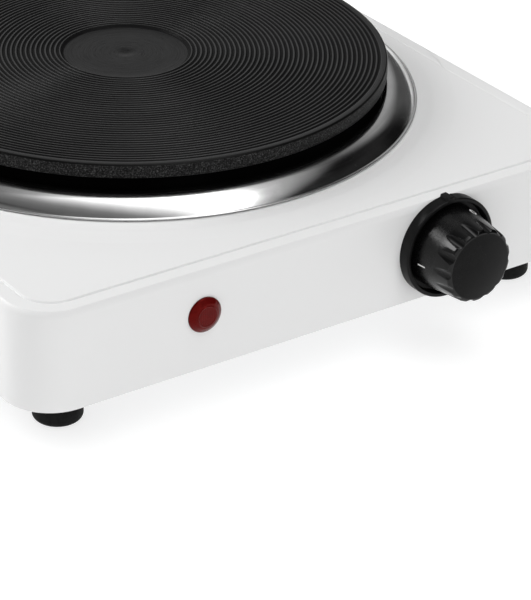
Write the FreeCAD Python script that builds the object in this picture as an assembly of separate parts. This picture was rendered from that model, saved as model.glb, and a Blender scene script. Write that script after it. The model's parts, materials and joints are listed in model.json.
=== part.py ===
import FreeCAD, Part
import math
import os

# Portable electric hot plate: one cast iron plate in a white pressed steel body.
# Millimetres. +X is right as seen from the front, -Y is the front with the knob,
# +Z is up. The origin is the centre of the overall box, on the table surface.

# ---- driving dimensions -------------------------------------------------------
TOTAL_HEIGHT = 68.0
BODY_WIDTH = 230.8
BODY_DEPTH = 242.4
BODY_BOTTOM = 16.0
BODY_CORNER = 17.0
WALL = 0.9
TOP_FILLET = 2.5
KNOB_PROUD = 21.4
GLAND_PROUD = 5.0

Y_FRONT = KNOB_PROUD - (KNOB_PROUD + BODY_DEPTH + GLAND_PROUD) / 2
Y_BACK = Y_FRONT + BODY_DEPTH
HALF_WIDTH = BODY_WIDTH / 2
PLATE_Y = Y_FRONT + 127.1

# Top panel: a border, a pressed field half a millimetre above it, and a round land
# for the trim ring.
BORDER_TOP = 51.8
FIELD_TOP = 52.2
FIELD_SIDE_INSET = 6.5
FIELD_FRONT_INSET = 6.0
FIELD_CORNER = 11.2
LAND_TOP = 52.7
LAND_RADIUS = 109.3
LAND_FOOT_RADIUS = 117.0
OPENING_RADIUS = 93.0

# Cast iron plate.
PLATE_RADIUS = 92.5
RIM_HEIGHT = 5.0
RIM_ROUND = 0.7
RECESS_RADIUS = 23.0
RECESS_DEPTH = 0.9
DIMPLE_RADIUS = 4.4
DIMPLE_DEPTH = 0.5
GROOVE_START = 23.46
GROOVE_PITCH = 1.72
GROOVE_COUNT = 39
GROOVE_DEPTH = 0.5
GROOVE_LAND = 0.5
NECK_RADIUS = 90.1
SHOULDER_Z = 57.7
SKIRT_RADIUS = 88.0
SKIRT_BOTTOM = 50.0
SKIRT_INNER = 81.5
RIB_BOTTOM = 54.5
WEB_BOTTOM = 62.5

# Heating coil: one two-centre spiral of half circles, turned to point at the front.
COIL_FIRST_RADIUS = 24.0
COIL_STEP = 5.5
COIL_HALF_TURNS = 10
COIL_CHANNEL = 8.0
COIL_RADIUS = 2.4
COIL_Z = 59.3
COIL_BEARING = -60.0
PIN_RADIUS = 0.9
FILLER_BOTTOM = 56.0

# Trim ring.
RING_SHEET = 0.7
RING_CREST_R = 92.7
RING_CREST_Z = 58.7
RING_LIP = 1.0
RING_OUTER_R = 103.1
RING_INNER_R = 88.2

# Clamping stack below the plate.
COVER_SHEET = 0.8
STUD_RADIUS = 2.95
STUD_BOTTOM = 33.5
STUD_TOP = 62.0
BAR_BOTTOM = 42.5
BAR_SHEET = 1.5
BAR_WIDTH = 24.0
SHIELD_SHEET = 0.6

# Ceramic connection block under the plate, on the coil's bearing.
TERMINAL_Z = 49.0
BLOCK_ALONG = COIL_FIRST_RADIUS - COIL_STEP / 2 + 4 * COIL_STEP
BLOCK_HALF_LENGTH = 12.0
BLOCK_HALF_WIDTH = 9.0
POLE_OFFSET = 4.5

# Base plate and feet.
BASE_BOTTOM = 17.0
BASE_SHEET = 1.0
BASE_TOP = BASE_BOTTOM + BASE_SHEET
FOOT_INSET = 23.0
FOOT_RADIUS = 8.4
TAB_SIZE = 38.0
TAB_SHEET = 1.2

# Front panel controls.
KNOB_X = 44.6
KNOB_Z = 34.7
LAMP_X = -51.5
LAMP_Z = 36.0
BEZEL_RADIUS = 18.0
BEZEL_DEPTH = 4.4
BEZEL_FLOOR = 0.8
POINTER_LEAN = 2.8
KNOB_SKIRT_R = 14.7
KNOB_NOSE_R = 13.1
KNOB_FACE_R = 11.6
KNOB_DOME = 0.8
KNOB_FLUTES = 14
SPINDLE_RADIUS = 3.0
RUNNING_GAP = 0.05
FLAT_DEPTH = 1.5
KNOB_FACE_Y = Y_FRONT - KNOB_PROUD
NUT_FACE = Y_FRONT - BEZEL_FLOOR
SPINDLE_TIP = KNOB_FACE_Y + 5.4
HUB_END = NUT_FACE - 3.9

# Thermostat behind the front wall: a stack of blades beside the spindle.
WALL_INNER = Y_FRONT + WALL
BRACKET_BACK = WALL_INNER + 1.2
BUSH_RADIUS = 4.75
STACK_X = KNOB_X + 11.0
STACK_RADIUS = 5.0
RIVET_RADIUS = 1.5
BLADE = 0.5
BIMETAL = 0.8
BLADE_1 = Y_FRONT + 8.3
BLADE_2 = Y_FRONT + 12.1
BIMETAL_Y = Y_FRONT + 16.6
TAB_DROP = 4.5
RECEPTACLE_START = STACK_X + 8.0
RECEPTACLE_END = STACK_X + 21.4

# Cord inlet in the back wall, and the terminal block in front of it.
GLAND_X = 60.0
GLAND_Z = 30.0
CORD_BORE = 3.6
POLE_SPACING = 10.0
POLE_Z = 24.5
BLOCK_Y = 92.0
BLOCK_HALF_SPAN = 17.0
BLOCK_DEPTH = 17.0
BLOCK_TOP = 31.0
BLOCK_SCREW_X = GLAND_X - POLE_SPACING / 2
POLE_FACE = BLOCK_Y - BLOCK_DEPTH / 2
EARTH_X = 22.0
EARTH_Y = 92.0

FIT_GAP = 0.05
LEAD_RADIUS = 1.2
LAMP_LEAD_RADIUS = 0.8

UP = FreeCAD.Vector(0, 0, 1)
BACK = FreeCAD.Vector(0, 1, 0)
PLATE_CENTRE = FreeCAD.Vector(0, PLATE_Y, 0)


# ---- helpers ------------------------------------------------------------------
def point(x, y, z):
    return FreeCAD.Vector(x, y, z)


def box(x0, x1, y0, y1, z0, z1):
    """A box between two corners."""
    return Part.makeBox(x1 - x0, y1 - y0, z1 - z0, point(x0, y0, z0))


def post(radius, x, y, z0, z1):
    """A vertical cylinder."""
    return Part.makeCylinder(radius, z1 - z0, point(x, y, z0), UP)


def rod(radius, x, z, y0, y1):
    """A cylinder along Y."""
    return Part.makeCylinder(radius, y1 - y0, point(x, y0, z), BACK)


def outline(start, steps, place):
    """A closed face. A step is a point that ends a line, or a (via, end) pair for an arc."""
    edges = []
    here = place(*start)
    for step in steps + [start]:
        if isinstance(step[0], tuple):
            via = place(*step[0])
            there = place(*step[1])
            edges.append(Part.Arc(here, via, there).toShape())
        else:
            there = place(*step)
            if there.distanceToPoint(here) > 1e-6:
                edges.append(Part.LineSegment(here, there).toShape())
        here = there
    return Part.Face(Part.Wire(edges))


def turned_about_plate(start, steps):
    """A solid of revolution about the plate's vertical axis, from (radius, z) points."""
    face = outline(start, steps, lambda r, z: point(r, 0, z))
    solid = face.revolve(point(0, 0, 0), UP, 360)
    return solid.translated(PLATE_CENTRE)


def turned_about_y(start, steps, x, z):
    """A solid of revolution about an axis along Y, from (radius, y) points."""
    face = outline(start, steps, lambda r, y: point(r, y, 0))
    solid = face.revolve(point(0, 0, 0), BACK, 360)
    return solid.translated(point(x, 0, z))


def arc_step(centre, radius, from_deg, to_deg):
    """The (via, end) pair of an arc about a centre in a profile's own plane."""
    middle = math.radians((from_deg + to_deg) / 2)
    last = math.radians(to_deg)
    via = (centre[0] + radius * math.cos(middle), centre[1] + radius * math.sin(middle))
    end = (centre[0] + radius * math.cos(last), centre[1] + radius * math.sin(last))
    return via, end


def rounded_slab(x_half, y0, y1, corner, z0, z1):
    """A rounded rectangle, centred in X, as a vertical prism."""
    slab = box(-x_half, x_half, y0, y1, z0, z1)
    upright = [edge for edge in slab.Edges if abs(edge.tangentAt(edge.FirstParameter).z) > 0.9]
    return slab.makeFillet(corner, upright)


def round_top(solid, radius):
    """Fillet the outer edges of a prism's top face."""
    top = max(solid.Faces, key=lambda face: face.CenterOfMass.z)
    return solid.makeFillet(radius, top.Edges)


def hex_nut(across_flats, thickness, hole):
    """A hexagonal nut standing on the origin."""
    corner = across_flats / math.sqrt(3)
    angles = [math.radians(60 * k) for k in range(7)]
    wire = Part.makePolygon([point(corner * math.cos(a), corner * math.sin(a), 0) for a in angles])
    prism = Part.Face(wire).extrude(UP * thickness)
    return prism.cut(post(hole, 0, 0, -1, thickness + 1))


def along_y(solid):
    """Turn a solid built up along +Z so that it points along -Y."""
    return solid.rotated(point(0, 0, 0), point(1, 0, 0), 90)


def screw(shank, length, head, head_height):
    """A pan head screw pointing up: its head is below the origin and its shank above."""
    solid = post(shank, 0, 0, 0, length).fuse(post(head, 0, 0, -head_height, 0))
    slot = box(-head, head, -0.4, 0.4, -head_height, -0.6 * head_height)
    return solid.removeSplitter().cut(slot)


def arc_centre(start, end, corner):
    """The centre of the arc that touches both runs of a corner at start and end."""
    middle = (start + end) * 0.5
    inward = middle - corner
    half = (end - start).Length / 2
    return middle + inward * (half / inward.Length) ** 2


def lead(name, points, radius, share=0.45):
    """A wire's sleeve along straight runs joined by tangent arcs.

    Each arc takes the given share of the shorter of its two runs.
    """
    here = points[0]
    edges = []
    radii = []
    for last, corner, following in zip(points, points[1:], points[2:]):
        before = corner - last
        after = following - corner
        cut_back = share * min(before.Length, after.Length)
        radii.append(round(cut_back / math.tan(before.getAngle(after) / 2), 1))
        start = corner - before * (cut_back / before.Length)
        end = corner + after * (cut_back / after.Length)
        centre = arc_centre(start, end, corner)
        outward = corner - centre
        via = centre + outward * ((start - centre).Length / outward.Length)
        edges.append(Part.LineSegment(here, start).toShape())
        edges.append(Part.Arc(start, via, end).toShape())
        here = end
    edges.append(Part.LineSegment(here, points[-1]).toShape())
    path = Part.Wire(edges)
    section = Part.Wire(Part.makeCircle(radius, points[0], points[1].sub(points[0])))
    tube = path.makePipeShell([section], True, False)
    ratio = tube.Volume / (math.pi * radius ** 2 * path.Length)
    print(name, "length", round(path.Length, 1), "radii", radii, "volume ratio", round(ratio, 4))
    return tube


# ---- white body ---------------------------------------------------------------
def body_form(inset):
    """The solid form of the body's outside, or of its inside for an inset of one wall."""
    x_half = HALF_WIDTH - inset
    y0, y1 = Y_FRONT + inset, Y_BACK - inset
    corner = BODY_CORNER - inset
    form = rounded_slab(x_half, y0, y1, corner, BODY_BOTTOM, BORDER_TOP - inset)
    form = round_top(form, TOP_FILLET - inset)
    field = rounded_slab(HALF_WIDTH - FIELD_SIDE_INSET, Y_FRONT + FIELD_FRONT_INSET,
                         Y_BACK - FIELD_SIDE_INSET, FIELD_CORNER, BODY_BOTTOM + 5, FIELD_TOP - inset)
    low, high = BORDER_TOP - inset - 1, LAND_TOP - inset
    land = turned_about_plate((0, low), [(LAND_FOOT_RADIUS, low), (LAND_FOOT_RADIUS, FIELD_TOP - inset),
                                         (LAND_RADIUS, high), (0, high)])
    limit = rounded_slab(x_half, y0, y1, corner, BODY_BOTTOM, high)
    limit = round_top(limit, TOP_FILLET - inset + 1)
    return form.fuse([field, land.common(limit)]).removeSplitter()


def corner_tabs():
    """The four lugs welded inside the corners, on which the base plate is screwed."""
    form = rounded_slab(HALF_WIDTH - WALL / 2, Y_FRONT + WALL / 2, Y_BACK - WALL / 2, BODY_CORNER,
                        BASE_TOP, BASE_TOP + TAB_SHEET)
    tabs = []
    for x, y in foot_places():
        x_far = math.copysign(HALF_WIDTH, x)
        y_far = Y_FRONT if y < 0 else Y_BACK
        x_near = x_far - math.copysign(TAB_SIZE, x)
        y_near = y_far + TAB_SIZE if y < 0 else y_far - TAB_SIZE
        square = box(min(x_far, x_near), max(x_far, x_near), min(y_far, y_near), max(y_far, y_near),
                     BASE_TOP, BASE_TOP + TAB_SHEET)
        tabs.append(square.common(form).cut(post(1.95, x, y, BASE_TOP - 1, BASE_TOP + 3)))
    return tabs


def housing_shell():
    inner = body_form(WALL).fuse(rounded_slab(HALF_WIDTH - WALL, Y_FRONT + WALL, Y_BACK - WALL,
                                              BODY_CORNER - WALL, BODY_BOTTOM - 1, BODY_BOTTOM + 1))
    shell = body_form(0).cut(inner)
    shell = shell.cut(post(OPENING_RADIUS, 0, PLATE_Y, 40, TOTAL_HEIGHT))
    shell = shell.cut(rod(5.5, LAMP_X, LAMP_Z, Y_FRONT - 2, Y_FRONT + 3))
    shell = shell.cut(rod(5.0, KNOB_X, KNOB_Z, Y_FRONT - 2, Y_FRONT + 3))
    shell = shell.cut(box(KNOB_X + 10.9, KNOB_X + 15.1, Y_FRONT - 2, Y_FRONT + 3,
                          KNOB_Z - 1.1, KNOB_Z + 1.1))
    shell = shell.cut(rod(7.0, GLAND_X, GLAND_Z, Y_BACK - 3, Y_BACK + 2))
    return shell.fuse(corner_tabs()).removeSplitter()


def base_plate():
    """The flat bottom cover with two columns of cooling slots."""
    gap = WALL + 0.3
    plate = rounded_slab(HALF_WIDTH - gap, Y_FRONT + gap, Y_BACK - gap, BODY_CORNER - gap,
                         BASE_BOTTOM, BASE_TOP)
    cutters = [post(2.1, x, y, BASE_BOTTOM - 1, BASE_TOP + 1) for x, y in foot_places()]
    cutters.append(post(2.0, EARTH_X, EARTH_Y, BASE_BOTTOM - 1, BASE_TOP + 1))
    cutters.append(post(1.5, BLOCK_SCREW_X, BLOCK_Y, BASE_BOTTOM - 1, BASE_TOP + 1))
    half_slot, slot_radius, slots, slot_pitch = 18.0, 2.0, 11, 11.0
    for row in range(slots):
        y = PLATE_Y + (row - (slots - 1) / 2) * slot_pitch
        for x in (-45.0, 45.0):
            cutters.append(box(x - half_slot, x + half_slot, y - slot_radius, y + slot_radius,
                               BASE_BOTTOM - 1, BASE_TOP + 1))
            cutters.append(post(slot_radius, x - half_slot, y, BASE_BOTTOM - 1, BASE_TOP + 1))
            cutters.append(post(slot_radius, x + half_slot, y, BASE_BOTTOM - 1, BASE_TOP + 1))
    return plate.cut(cutters)


# ---- cast iron plate and its heater -------------------------------------------
def from_plate(along, across, z):
    """A point by its distance along the coil's bearing and across it."""
    bearing = math.radians(COIL_BEARING)
    x = along * math.cos(bearing) - across * math.sin(bearing)
    y = along * math.sin(bearing) + across * math.cos(bearing)
    return point(x, PLATE_Y + y, z)


def on_bearing(solid):
    """Turn a solid built about the origin to the coil's bearing, under the plate."""
    return solid.rotated(point(0, 0, 0), UP, COIL_BEARING).translated(PLATE_CENTRE)


def half_turns():
    """Centre and radius of each half circle of the spiral, with the side that it is on."""
    for index in range(COIL_HALF_TURNS):
        side = 1 if index % 2 == 0 else -1
        yield -side * COIL_STEP / 2, COIL_FIRST_RADIUS + index * COIL_STEP, side


def coil_ends():
    """Distances along the bearing at which the spiral starts and stops."""
    first = COIL_FIRST_RADIUS - COIL_STEP / 2
    return first, first + COIL_HALF_TURNS * COIL_STEP


def spiral_band(width, z0, z1):
    """The spiral as a flat band of one width, with round ends."""
    pieces = []
    for centre_x, radius, side in half_turns():
        outer = post(radius + width / 2, centre_x, 0, z0, z1)
        ring = outer.cut(post(radius - width / 2, centre_x, 0, z0, z1))
        reach = radius + width
        half = box(centre_x - reach, centre_x + reach, min(0, side * reach), max(0, side * reach), z0, z1)
        pieces.append(ring.common(half))
    for end in coil_ends():
        pieces.append(post(width / 2, end, 0, z0, z1))
    return on_bearing(pieces[0].fuse(pieces[1:]).removeSplitter())


def heating_coil():
    """The envelope of the wound resistance wire, a round bar along the spiral."""
    pieces = []
    for centre_x, radius, side in half_turns():
        centre = point(centre_x, 0, COIL_Z)
        circle = Part.makeCircle(COIL_RADIUS, centre + point(radius, 0, 0), BACK)
        pieces.append(Part.Face(Part.Wire(circle)).revolve(centre, UP * side, 180))
    coil = on_bearing(pieces[0].fuse(pieces[1:]).removeSplitter())
    return coil.cut([post(PIN_RADIUS, end.x, end.y, COIL_Z - 9, COIL_Z + 9)
                     for end in (from_plate(along, 0, 0) for along in coil_ends())])


def hotplate_casting():
    top = TOTAL_HEIGHT
    rim_bottom = top - RIM_HEIGHT
    floor = top - RECESS_DEPTH
    steps = [(DIMPLE_RADIUS, floor), (RECESS_RADIUS - 0.4, floor), (RECESS_RADIUS, top)]
    half_groove = (GROOVE_PITCH - GROOVE_LAND) / 2
    for index in range(GROOVE_COUNT):
        start = GROOVE_START + index * GROOVE_PITCH
        steps += [(start, top), (start + half_groove, top - GROOVE_DEPTH), (start + 2 * half_groove, top)]
    round_centre = (PLATE_RADIUS - RIM_ROUND, top - RIM_ROUND)
    steps += [(PLATE_RADIUS - RIM_ROUND, top), arc_step(round_centre, RIM_ROUND, 90, 0),
              (PLATE_RADIUS, rim_bottom), (NECK_RADIUS, rim_bottom), (NECK_RADIUS, SHOULDER_Z),
              (SKIRT_RADIUS, SHOULDER_Z), (SKIRT_RADIUS, SKIRT_BOTTOM), (SKIRT_INNER, SKIRT_BOTTOM),
              (SKIRT_INNER, RIB_BOTTOM), (0, RIB_BOTTOM)]
    casting = turned_about_plate((0, floor - DIMPLE_DEPTH), steps)
    casting = casting.cut(spiral_band(COIL_CHANNEL, RIB_BOTTOM - 1, WEB_BOTTOM))
    return casting.cut(post(STUD_RADIUS + FIT_GAP, 0, PLATE_Y, RIB_BOTTOM - 1, STUD_TOP + 0.2))


def insulating_filler():
    band = spiral_band(COIL_CHANNEL - 2 * FIT_GAP, FILLER_BOTTOM, WEB_BOTTOM - FIT_GAP)
    holes = [post(PIN_RADIUS, end.x, end.y, FILLER_BOTTOM - 1, COIL_Z)
             for end in (from_plate(along, 0, 0) for along in coil_ends())]
    return band.cut([heating_coil()] + holes)


def coil_pins():
    """The two stiff nickel rods from the coil's ends to the plate's terminal block."""
    inner, outer = coil_ends()
    inner_stop = BLOCK_ALONG - BLOCK_HALF_LENGTH
    outer_stop = BLOCK_ALONG + BLOCK_HALF_LENGTH
    pins = []
    for name, along, stop, across in (("inner pin", inner, inner_stop, -POLE_OFFSET),
                                      ("outer pin", outer, outer_stop, POLE_OFFSET)):
        path = [from_plate(along, 0, COIL_Z), from_plate(along, 0, TERMINAL_Z),
                from_plate(stop, across, TERMINAL_Z)]
        pins.append(lead(name, path, PIN_RADIUS, 0.3).cut(plate_terminals()))
    return Part.makeCompound(pins)


def terminal_beads():
    """Ceramic sleeves that keep the pins clear of the cover."""
    beads = []
    for along in coil_ends():
        place = from_plate(along, 0, 0)
        bead = post(2.5, place.x, place.y, RIB_BOTTOM - 2.0, RIB_BOTTOM + 1.2)
        bead = bead.fuse(post(3.4, place.x, place.y, RIB_BOTTOM - 2.0, RIB_BOTTOM - COVER_SHEET))
        beads.append(bead.cut(post(PIN_RADIUS + FIT_GAP, place.x, place.y, 40, 60)))
    return Part.makeCompound(beads)


def underside_cover():
    """The pressed lid over the heater, with its edge turned down inside the skirt."""
    low = RIB_BOTTOM - COVER_SHEET
    outer = SKIRT_INNER - 0.3
    cover = turned_about_plate((3.3, low), [(outer - COVER_SHEET, low), (outer - COVER_SHEET, low - 2.5),
                                            (outer, low - 2.5), (outer, RIB_BOTTOM), (3.3, RIB_BOTTOM)])
    holes = [post(2.5 + FIT_GAP, end.x, end.y, low - 1, RIB_BOTTOM + 1)
             for end in (from_plate(along, 0, 0) for along in coil_ends())]
    rivet = from_plate(BLOCK_ALONG, 0, 0)
    holes.append(post(1.5 + FIT_GAP, rivet.x, rivet.y, low - 1, RIB_BOTTOM + 1))
    return cover.cut(holes)


def trim_ring():
    """The polished ring: a gutter under the plate's shoulder, a lip under its rim and a round flank."""
    run = RING_OUTER_R - RING_CREST_R
    drop = RING_CREST_Z - LAND_TOP
    outer = (run ** 2 + drop ** 2) / (2 * drop)
    inner = outer - RING_SHEET
    flank_centre = (RING_CREST_R, RING_CREST_Z - outer)
    outer_end = math.degrees(math.asin((outer - drop) / outer))
    inner_end = math.degrees(math.asin((outer - drop) / inner))
    lip_centre = (RING_CREST_R, RING_CREST_Z - RING_LIP)
    gutter_low = SHOULDER_Z - RING_SHEET
    inner_edge = RING_CREST_R + inner * math.cos(math.radians(inner_end))
    steps = [(RING_CREST_R - RING_LIP, SHOULDER_Z), arc_step(lip_centre, RING_LIP, 180, 90),
             arc_step(flank_centre, outer, 90, outer_end), (inner_edge, LAND_TOP),
             arc_step(flank_centre, inner, inner_end, 90),
             arc_step(lip_centre, RING_LIP - RING_SHEET, 90, 180),
             (RING_CREST_R - RING_LIP + RING_SHEET, gutter_low), (RING_INNER_R, gutter_low)]
    return turned_about_plate((RING_INNER_R, SHOULDER_Z), steps)


# ---- clamping stack -----------------------------------------------------------
def centre_stud():
    return post(STUD_RADIUS, 0, PLATE_Y, STUD_BOTTOM, STUD_TOP)


def stud_washers():
    tops = (RIB_BOTTOM - COVER_SHEET, BAR_BOTTOM)
    rings = [post(6.0, 0, PLATE_Y, z - 1.6, z).cut(post(3.2, 0, PLATE_Y, z - 2, z + 1)) for z in tops]
    return Part.makeCompound(rings)


def stud_nuts():
    tops = (RIB_BOTTOM - COVER_SHEET - 1.6, BAR_BOTTOM - 1.6)
    nut = hex_nut(10.0, 5.0, STUD_RADIUS + FIT_GAP)
    return Part.makeCompound([nut.translated(point(0, PLATE_Y, z - 5.0)) for z in tops])


def crossbar():
    """The strap that draws the plate down on the panel, with its ends under the land."""
    leg = 95.0
    end = 106.0
    half = BAR_WIDTH / 2
    y0, y1 = PLATE_Y - half, PLATE_Y + half
    top = LAND_TOP - WALL
    bar = box(-leg, leg, y0, y1, BAR_BOTTOM, BAR_BOTTOM + BAR_SHEET)
    parts = []
    for side in (-1, 1):
        x_leg = sorted((side * leg, side * (leg - BAR_SHEET)))
        x_end = sorted((side * (leg - BAR_SHEET), side * end))
        parts.append(box(x_leg[0], x_leg[1], y0, y1, BAR_BOTTOM, top))
        parts.append(box(x_end[0], x_end[1], y0, y1, top - BAR_SHEET, top))
        y_edge = y0 if side < 0 else y1 - BAR_SHEET
        parts.append(box(-85, 85, y_edge, y_edge + BAR_SHEET, BAR_BOTTOM - 5, BAR_BOTTOM))
    bar = bar.fuse(parts).removeSplitter()
    return bar.cut(post(3.3, 0, PLATE_Y, 40, 50))


def heat_shield():
    """A shallow dish of bright sheet on the crossbar, with a window for the terminals."""
    low = BAR_BOTTOM + BAR_SHEET
    high = low + SHIELD_SHEET
    dish = turned_about_plate((3.3, low), [(84.0, low), (84.0, low + 5.0), (84.0 - SHIELD_SHEET, low + 5.0),
                                           (84.0 - SHIELD_SHEET, high), (3.3, high)])
    window = box(BLOCK_ALONG - 23, BLOCK_ALONG + 34, -13, 13, low - 1, high + 1)
    return dish.cut(on_bearing(window))


def plate_terminal_block():
    """The ceramic block riveted under the cover, with two through poles."""
    top = RIB_BOTTOM - COVER_SHEET
    block = box(BLOCK_ALONG - BLOCK_HALF_LENGTH, BLOCK_ALONG + BLOCK_HALF_LENGTH,
                -BLOCK_HALF_WIDTH, BLOCK_HALF_WIDTH, top - 9.2, top)
    cutters = [post(1.5 + FIT_GAP, BLOCK_ALONG, 0, 40, 60), post(3.0, BLOCK_ALONG, 0, 40, top - 7.2)]
    for across in (-POLE_OFFSET, POLE_OFFSET):
        start = point(BLOCK_ALONG - BLOCK_HALF_LENGTH - 1, across, TERMINAL_Z)
        cutters.append(Part.makeCylinder(2.3 + FIT_GAP, 2 * BLOCK_HALF_LENGTH + 2, start, point(1, 0, 0)))
        for along in (-6.5, 6.5):
            cutters.append(post(1.6, BLOCK_ALONG + along, across, 40, TERMINAL_Z))
    return on_bearing(block.cut(cutters))


def plate_terminals():
    """Brass sleeves in the ceramic block."""
    sleeves = []
    for across in (-POLE_OFFSET, POLE_OFFSET):
        start = point(BLOCK_ALONG - BLOCK_HALF_LENGTH, across, TERMINAL_Z)
        sleeve = Part.makeCylinder(2.3, 2 * BLOCK_HALF_LENGTH, start, point(1, 0, 0))
        holes = [post(1.4 + FIT_GAP, BLOCK_ALONG + along, across, 40, TERMINAL_Z) for along in (-6.5, 6.5)]
        sleeves.append(on_bearing(sleeve.cut(holes)))
    return Part.makeCompound(sleeves)


def plate_terminal_screws():
    screws = []
    for across in (-POLE_OFFSET, POLE_OFFSET):
        for along in (-6.5, 6.5):
            grub = post(1.4, BLOCK_ALONG + along, across, 45.2, TERMINAL_Z)
            slot = box(BLOCK_ALONG + along - 2, BLOCK_ALONG + along + 2, across - 0.25, across + 0.25, 45, 46)
            screws.append(on_bearing(grub.cut(slot)))
    return Part.makeCompound(screws)


def block_rivet():
    """The rivet through the ceramic block and the cover."""
    top = RIB_BOTTOM - COVER_SHEET
    rivet = post(1.5, BLOCK_ALONG, 0, top - 7.2, RIB_BOTTOM)
    rivet = rivet.fuse(post(2.7, BLOCK_ALONG, 0, top - 8.4, top - 7.2))
    rivet = rivet.fuse(post(2.6, BLOCK_ALONG, 0, RIB_BOTTOM, RIB_BOTTOM + 1.0))
    return on_bearing(rivet.removeSplitter())


# ---- thermostat ---------------------------------------------------------------
def thermostat_bracket():
    plate = box(KNOB_X - 15, KNOB_X + 19, WALL_INNER, BRACKET_BACK, KNOB_Z - 13, KNOB_Z + 13)
    tab = box(KNOB_X + 11, KNOB_X + 15, Y_FRONT, WALL_INNER, KNOB_Z - 1, KNOB_Z + 1)
    bracket = plate.fuse(tab).removeSplitter()
    bracket = bracket.cut(rod(BUSH_RADIUS + FIT_GAP, KNOB_X, KNOB_Z, Y_FRONT - 1, Y_FRONT + 9))
    return bracket.cut(rod(RIVET_RADIUS + FIT_GAP, STACK_X, KNOB_Z, Y_FRONT - 1, Y_FRONT + 9))


def thermostat_bush():
    """The threaded bush that holds the thermostat on the front wall and guides the spindle."""
    bush = rod(BUSH_RADIUS, KNOB_X, KNOB_Z, NUT_FACE - 3.1, BRACKET_BACK + 4.5)
    bush = bush.fuse(rod(5.8, KNOB_X, KNOB_Z, BRACKET_BACK, BRACKET_BACK + 1.5)).removeSplitter()
    return bush.cut(rod(SPINDLE_RADIUS + RUNNING_GAP, KNOB_X, KNOB_Z, Y_FRONT - 10, Y_FRONT + 10))


def bush_nut():
    nut = along_y(hex_nut(14.0, 2.5, BUSH_RADIUS + FIT_GAP))
    return nut.translated(point(KNOB_X, NUT_FACE, KNOB_Z))


def thermostat_insulators():
    """Ceramic rings that space the blades along the rivet."""
    spans = [(BRACKET_BACK, BLADE_1), (BLADE_1 + BLADE, BLADE_2), (BLADE_2 + BLADE, BIMETAL_Y)]
    rings = []
    for near, far in spans:
        ring = rod(STACK_RADIUS, STACK_X, KNOB_Z, near, far)
        rings.append(ring.cut(rod(RIVET_RADIUS + FIT_GAP, STACK_X, KNOB_Z, near - 1, far + 1)))
    return Part.makeCompound(rings)


def blade(y, thickness, reach, half_height):
    """A strip from the rivet stack across the spindle's end."""
    strip = box(STACK_X - reach, STACK_X, y, y + thickness, KNOB_Z - half_height, KNOB_Z + half_height)
    strip = strip.fuse(rod(STACK_RADIUS, STACK_X, KNOB_Z, y, y + thickness))
    return strip.cut(rod(RIVET_RADIUS + FIT_GAP, STACK_X, KNOB_Z, y - 1, y + thickness + 1))


def tab_strip(y, z):
    """The flat connection tab of a blade."""
    return box(STACK_X + 2.5, STACK_X + 15, y, y + BLADE, z - 3.15, z + 3.15)


def fixed_contact_blade():
    strip = blade(BLADE_1, BLADE, 21.0, 3.5).fuse(tab_strip(BLADE_1, KNOB_Z - TAB_DROP))
    contact = rod(1.6, STACK_X - 19, KNOB_Z, BLADE_1 + BLADE, BLADE_1 + BLADE + 1.6)
    return strip.fuse(contact).removeSplitter()


def moving_contact_blade():
    strip = blade(BLADE_2, BLADE, 21.0, 3.0).fuse(tab_strip(BLADE_2, KNOB_Z + TAB_DROP))
    contact = rod(1.6, STACK_X - 19, KNOB_Z, BLADE_2 - 1.6, BLADE_2)
    return strip.fuse(contact).removeSplitter()


def bimetal_blade():
    return blade(BIMETAL_Y, BIMETAL, 23.0, 4.0).removeSplitter()


def thermostat_rivet():
    end = BIMETAL_Y + BIMETAL
    rivet = rod(RIVET_RADIUS, STACK_X, KNOB_Z, WALL_INNER, end)
    return rivet.fuse(rod(3.0, STACK_X, KNOB_Z, end, end + 1.2)).removeSplitter()


def tab_receptacles():
    """Push-on connectors on the two tabs, each with a crimp barrel for its leads."""
    receptacles = []
    for y, z in ((BLADE_1, KNOB_Z - TAB_DROP), (BLADE_2, KNOB_Z + TAB_DROP)):
        middle = y + BLADE / 2
        sleeve = box(RECEPTACLE_START, RECEPTACLE_END - 4, middle - 1.3, middle + 1.3, z - 3.9, z + 3.9)
        barrel = box(RECEPTACLE_END - 4, RECEPTACLE_END, middle - 1.5, middle + 1.5, z - 2.6, z + 2.6)
        slot = box(RECEPTACLE_START - 1, STACK_X + 15.5, middle - 0.3, middle + 0.3, z - 3.2, z + 3.2)
        receptacles.append(sleeve.fuse(barrel).removeSplitter().cut(slot))
    return Part.makeCompound(receptacles)


# ---- knob and spindle, which turn together ------------------------------------
def spindle():
    """The steel spindle with a D flat for the knob and a collar behind the bush."""
    end = BLADE_1 - 0.3
    collar = BRACKET_BACK + 4.5 + 0.2
    shaft = rod(SPINDLE_RADIUS, KNOB_X, KNOB_Z, SPINDLE_TIP, end)
    shaft = shaft.fuse(rod(4.2, KNOB_X, KNOB_Z, collar, collar + 0.9)).removeSplitter()
    flat = box(KNOB_X - 4, KNOB_X + 4, SPINDLE_TIP - 1, SPINDLE_TIP + 10,
               KNOB_Z + SPINDLE_RADIUS - FLAT_DEPTH, KNOB_Z + 4)
    return shaft.cut(flat)


def flute(index):
    """A round cutter that runs out on the knob's flank and is deepest at its nose."""
    radius = 2.4
    apex_y, nose_y = KNOB_FACE_Y + 9.5, KNOB_FACE_Y
    apex_r, nose_r = 13.95 + radius, KNOB_NOSE_R - 1.0 + radius
    start = point(apex_r, apex_y, 0)
    along = point(nose_r, nose_y, 0) - start
    cutter = Part.makeCylinder(radius, along.Length * 1.3, start - along * 0.15, along)
    return cutter.rotated(point(0, 0, 0), BACK, index * 360 / KNOB_FLUTES)


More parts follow.
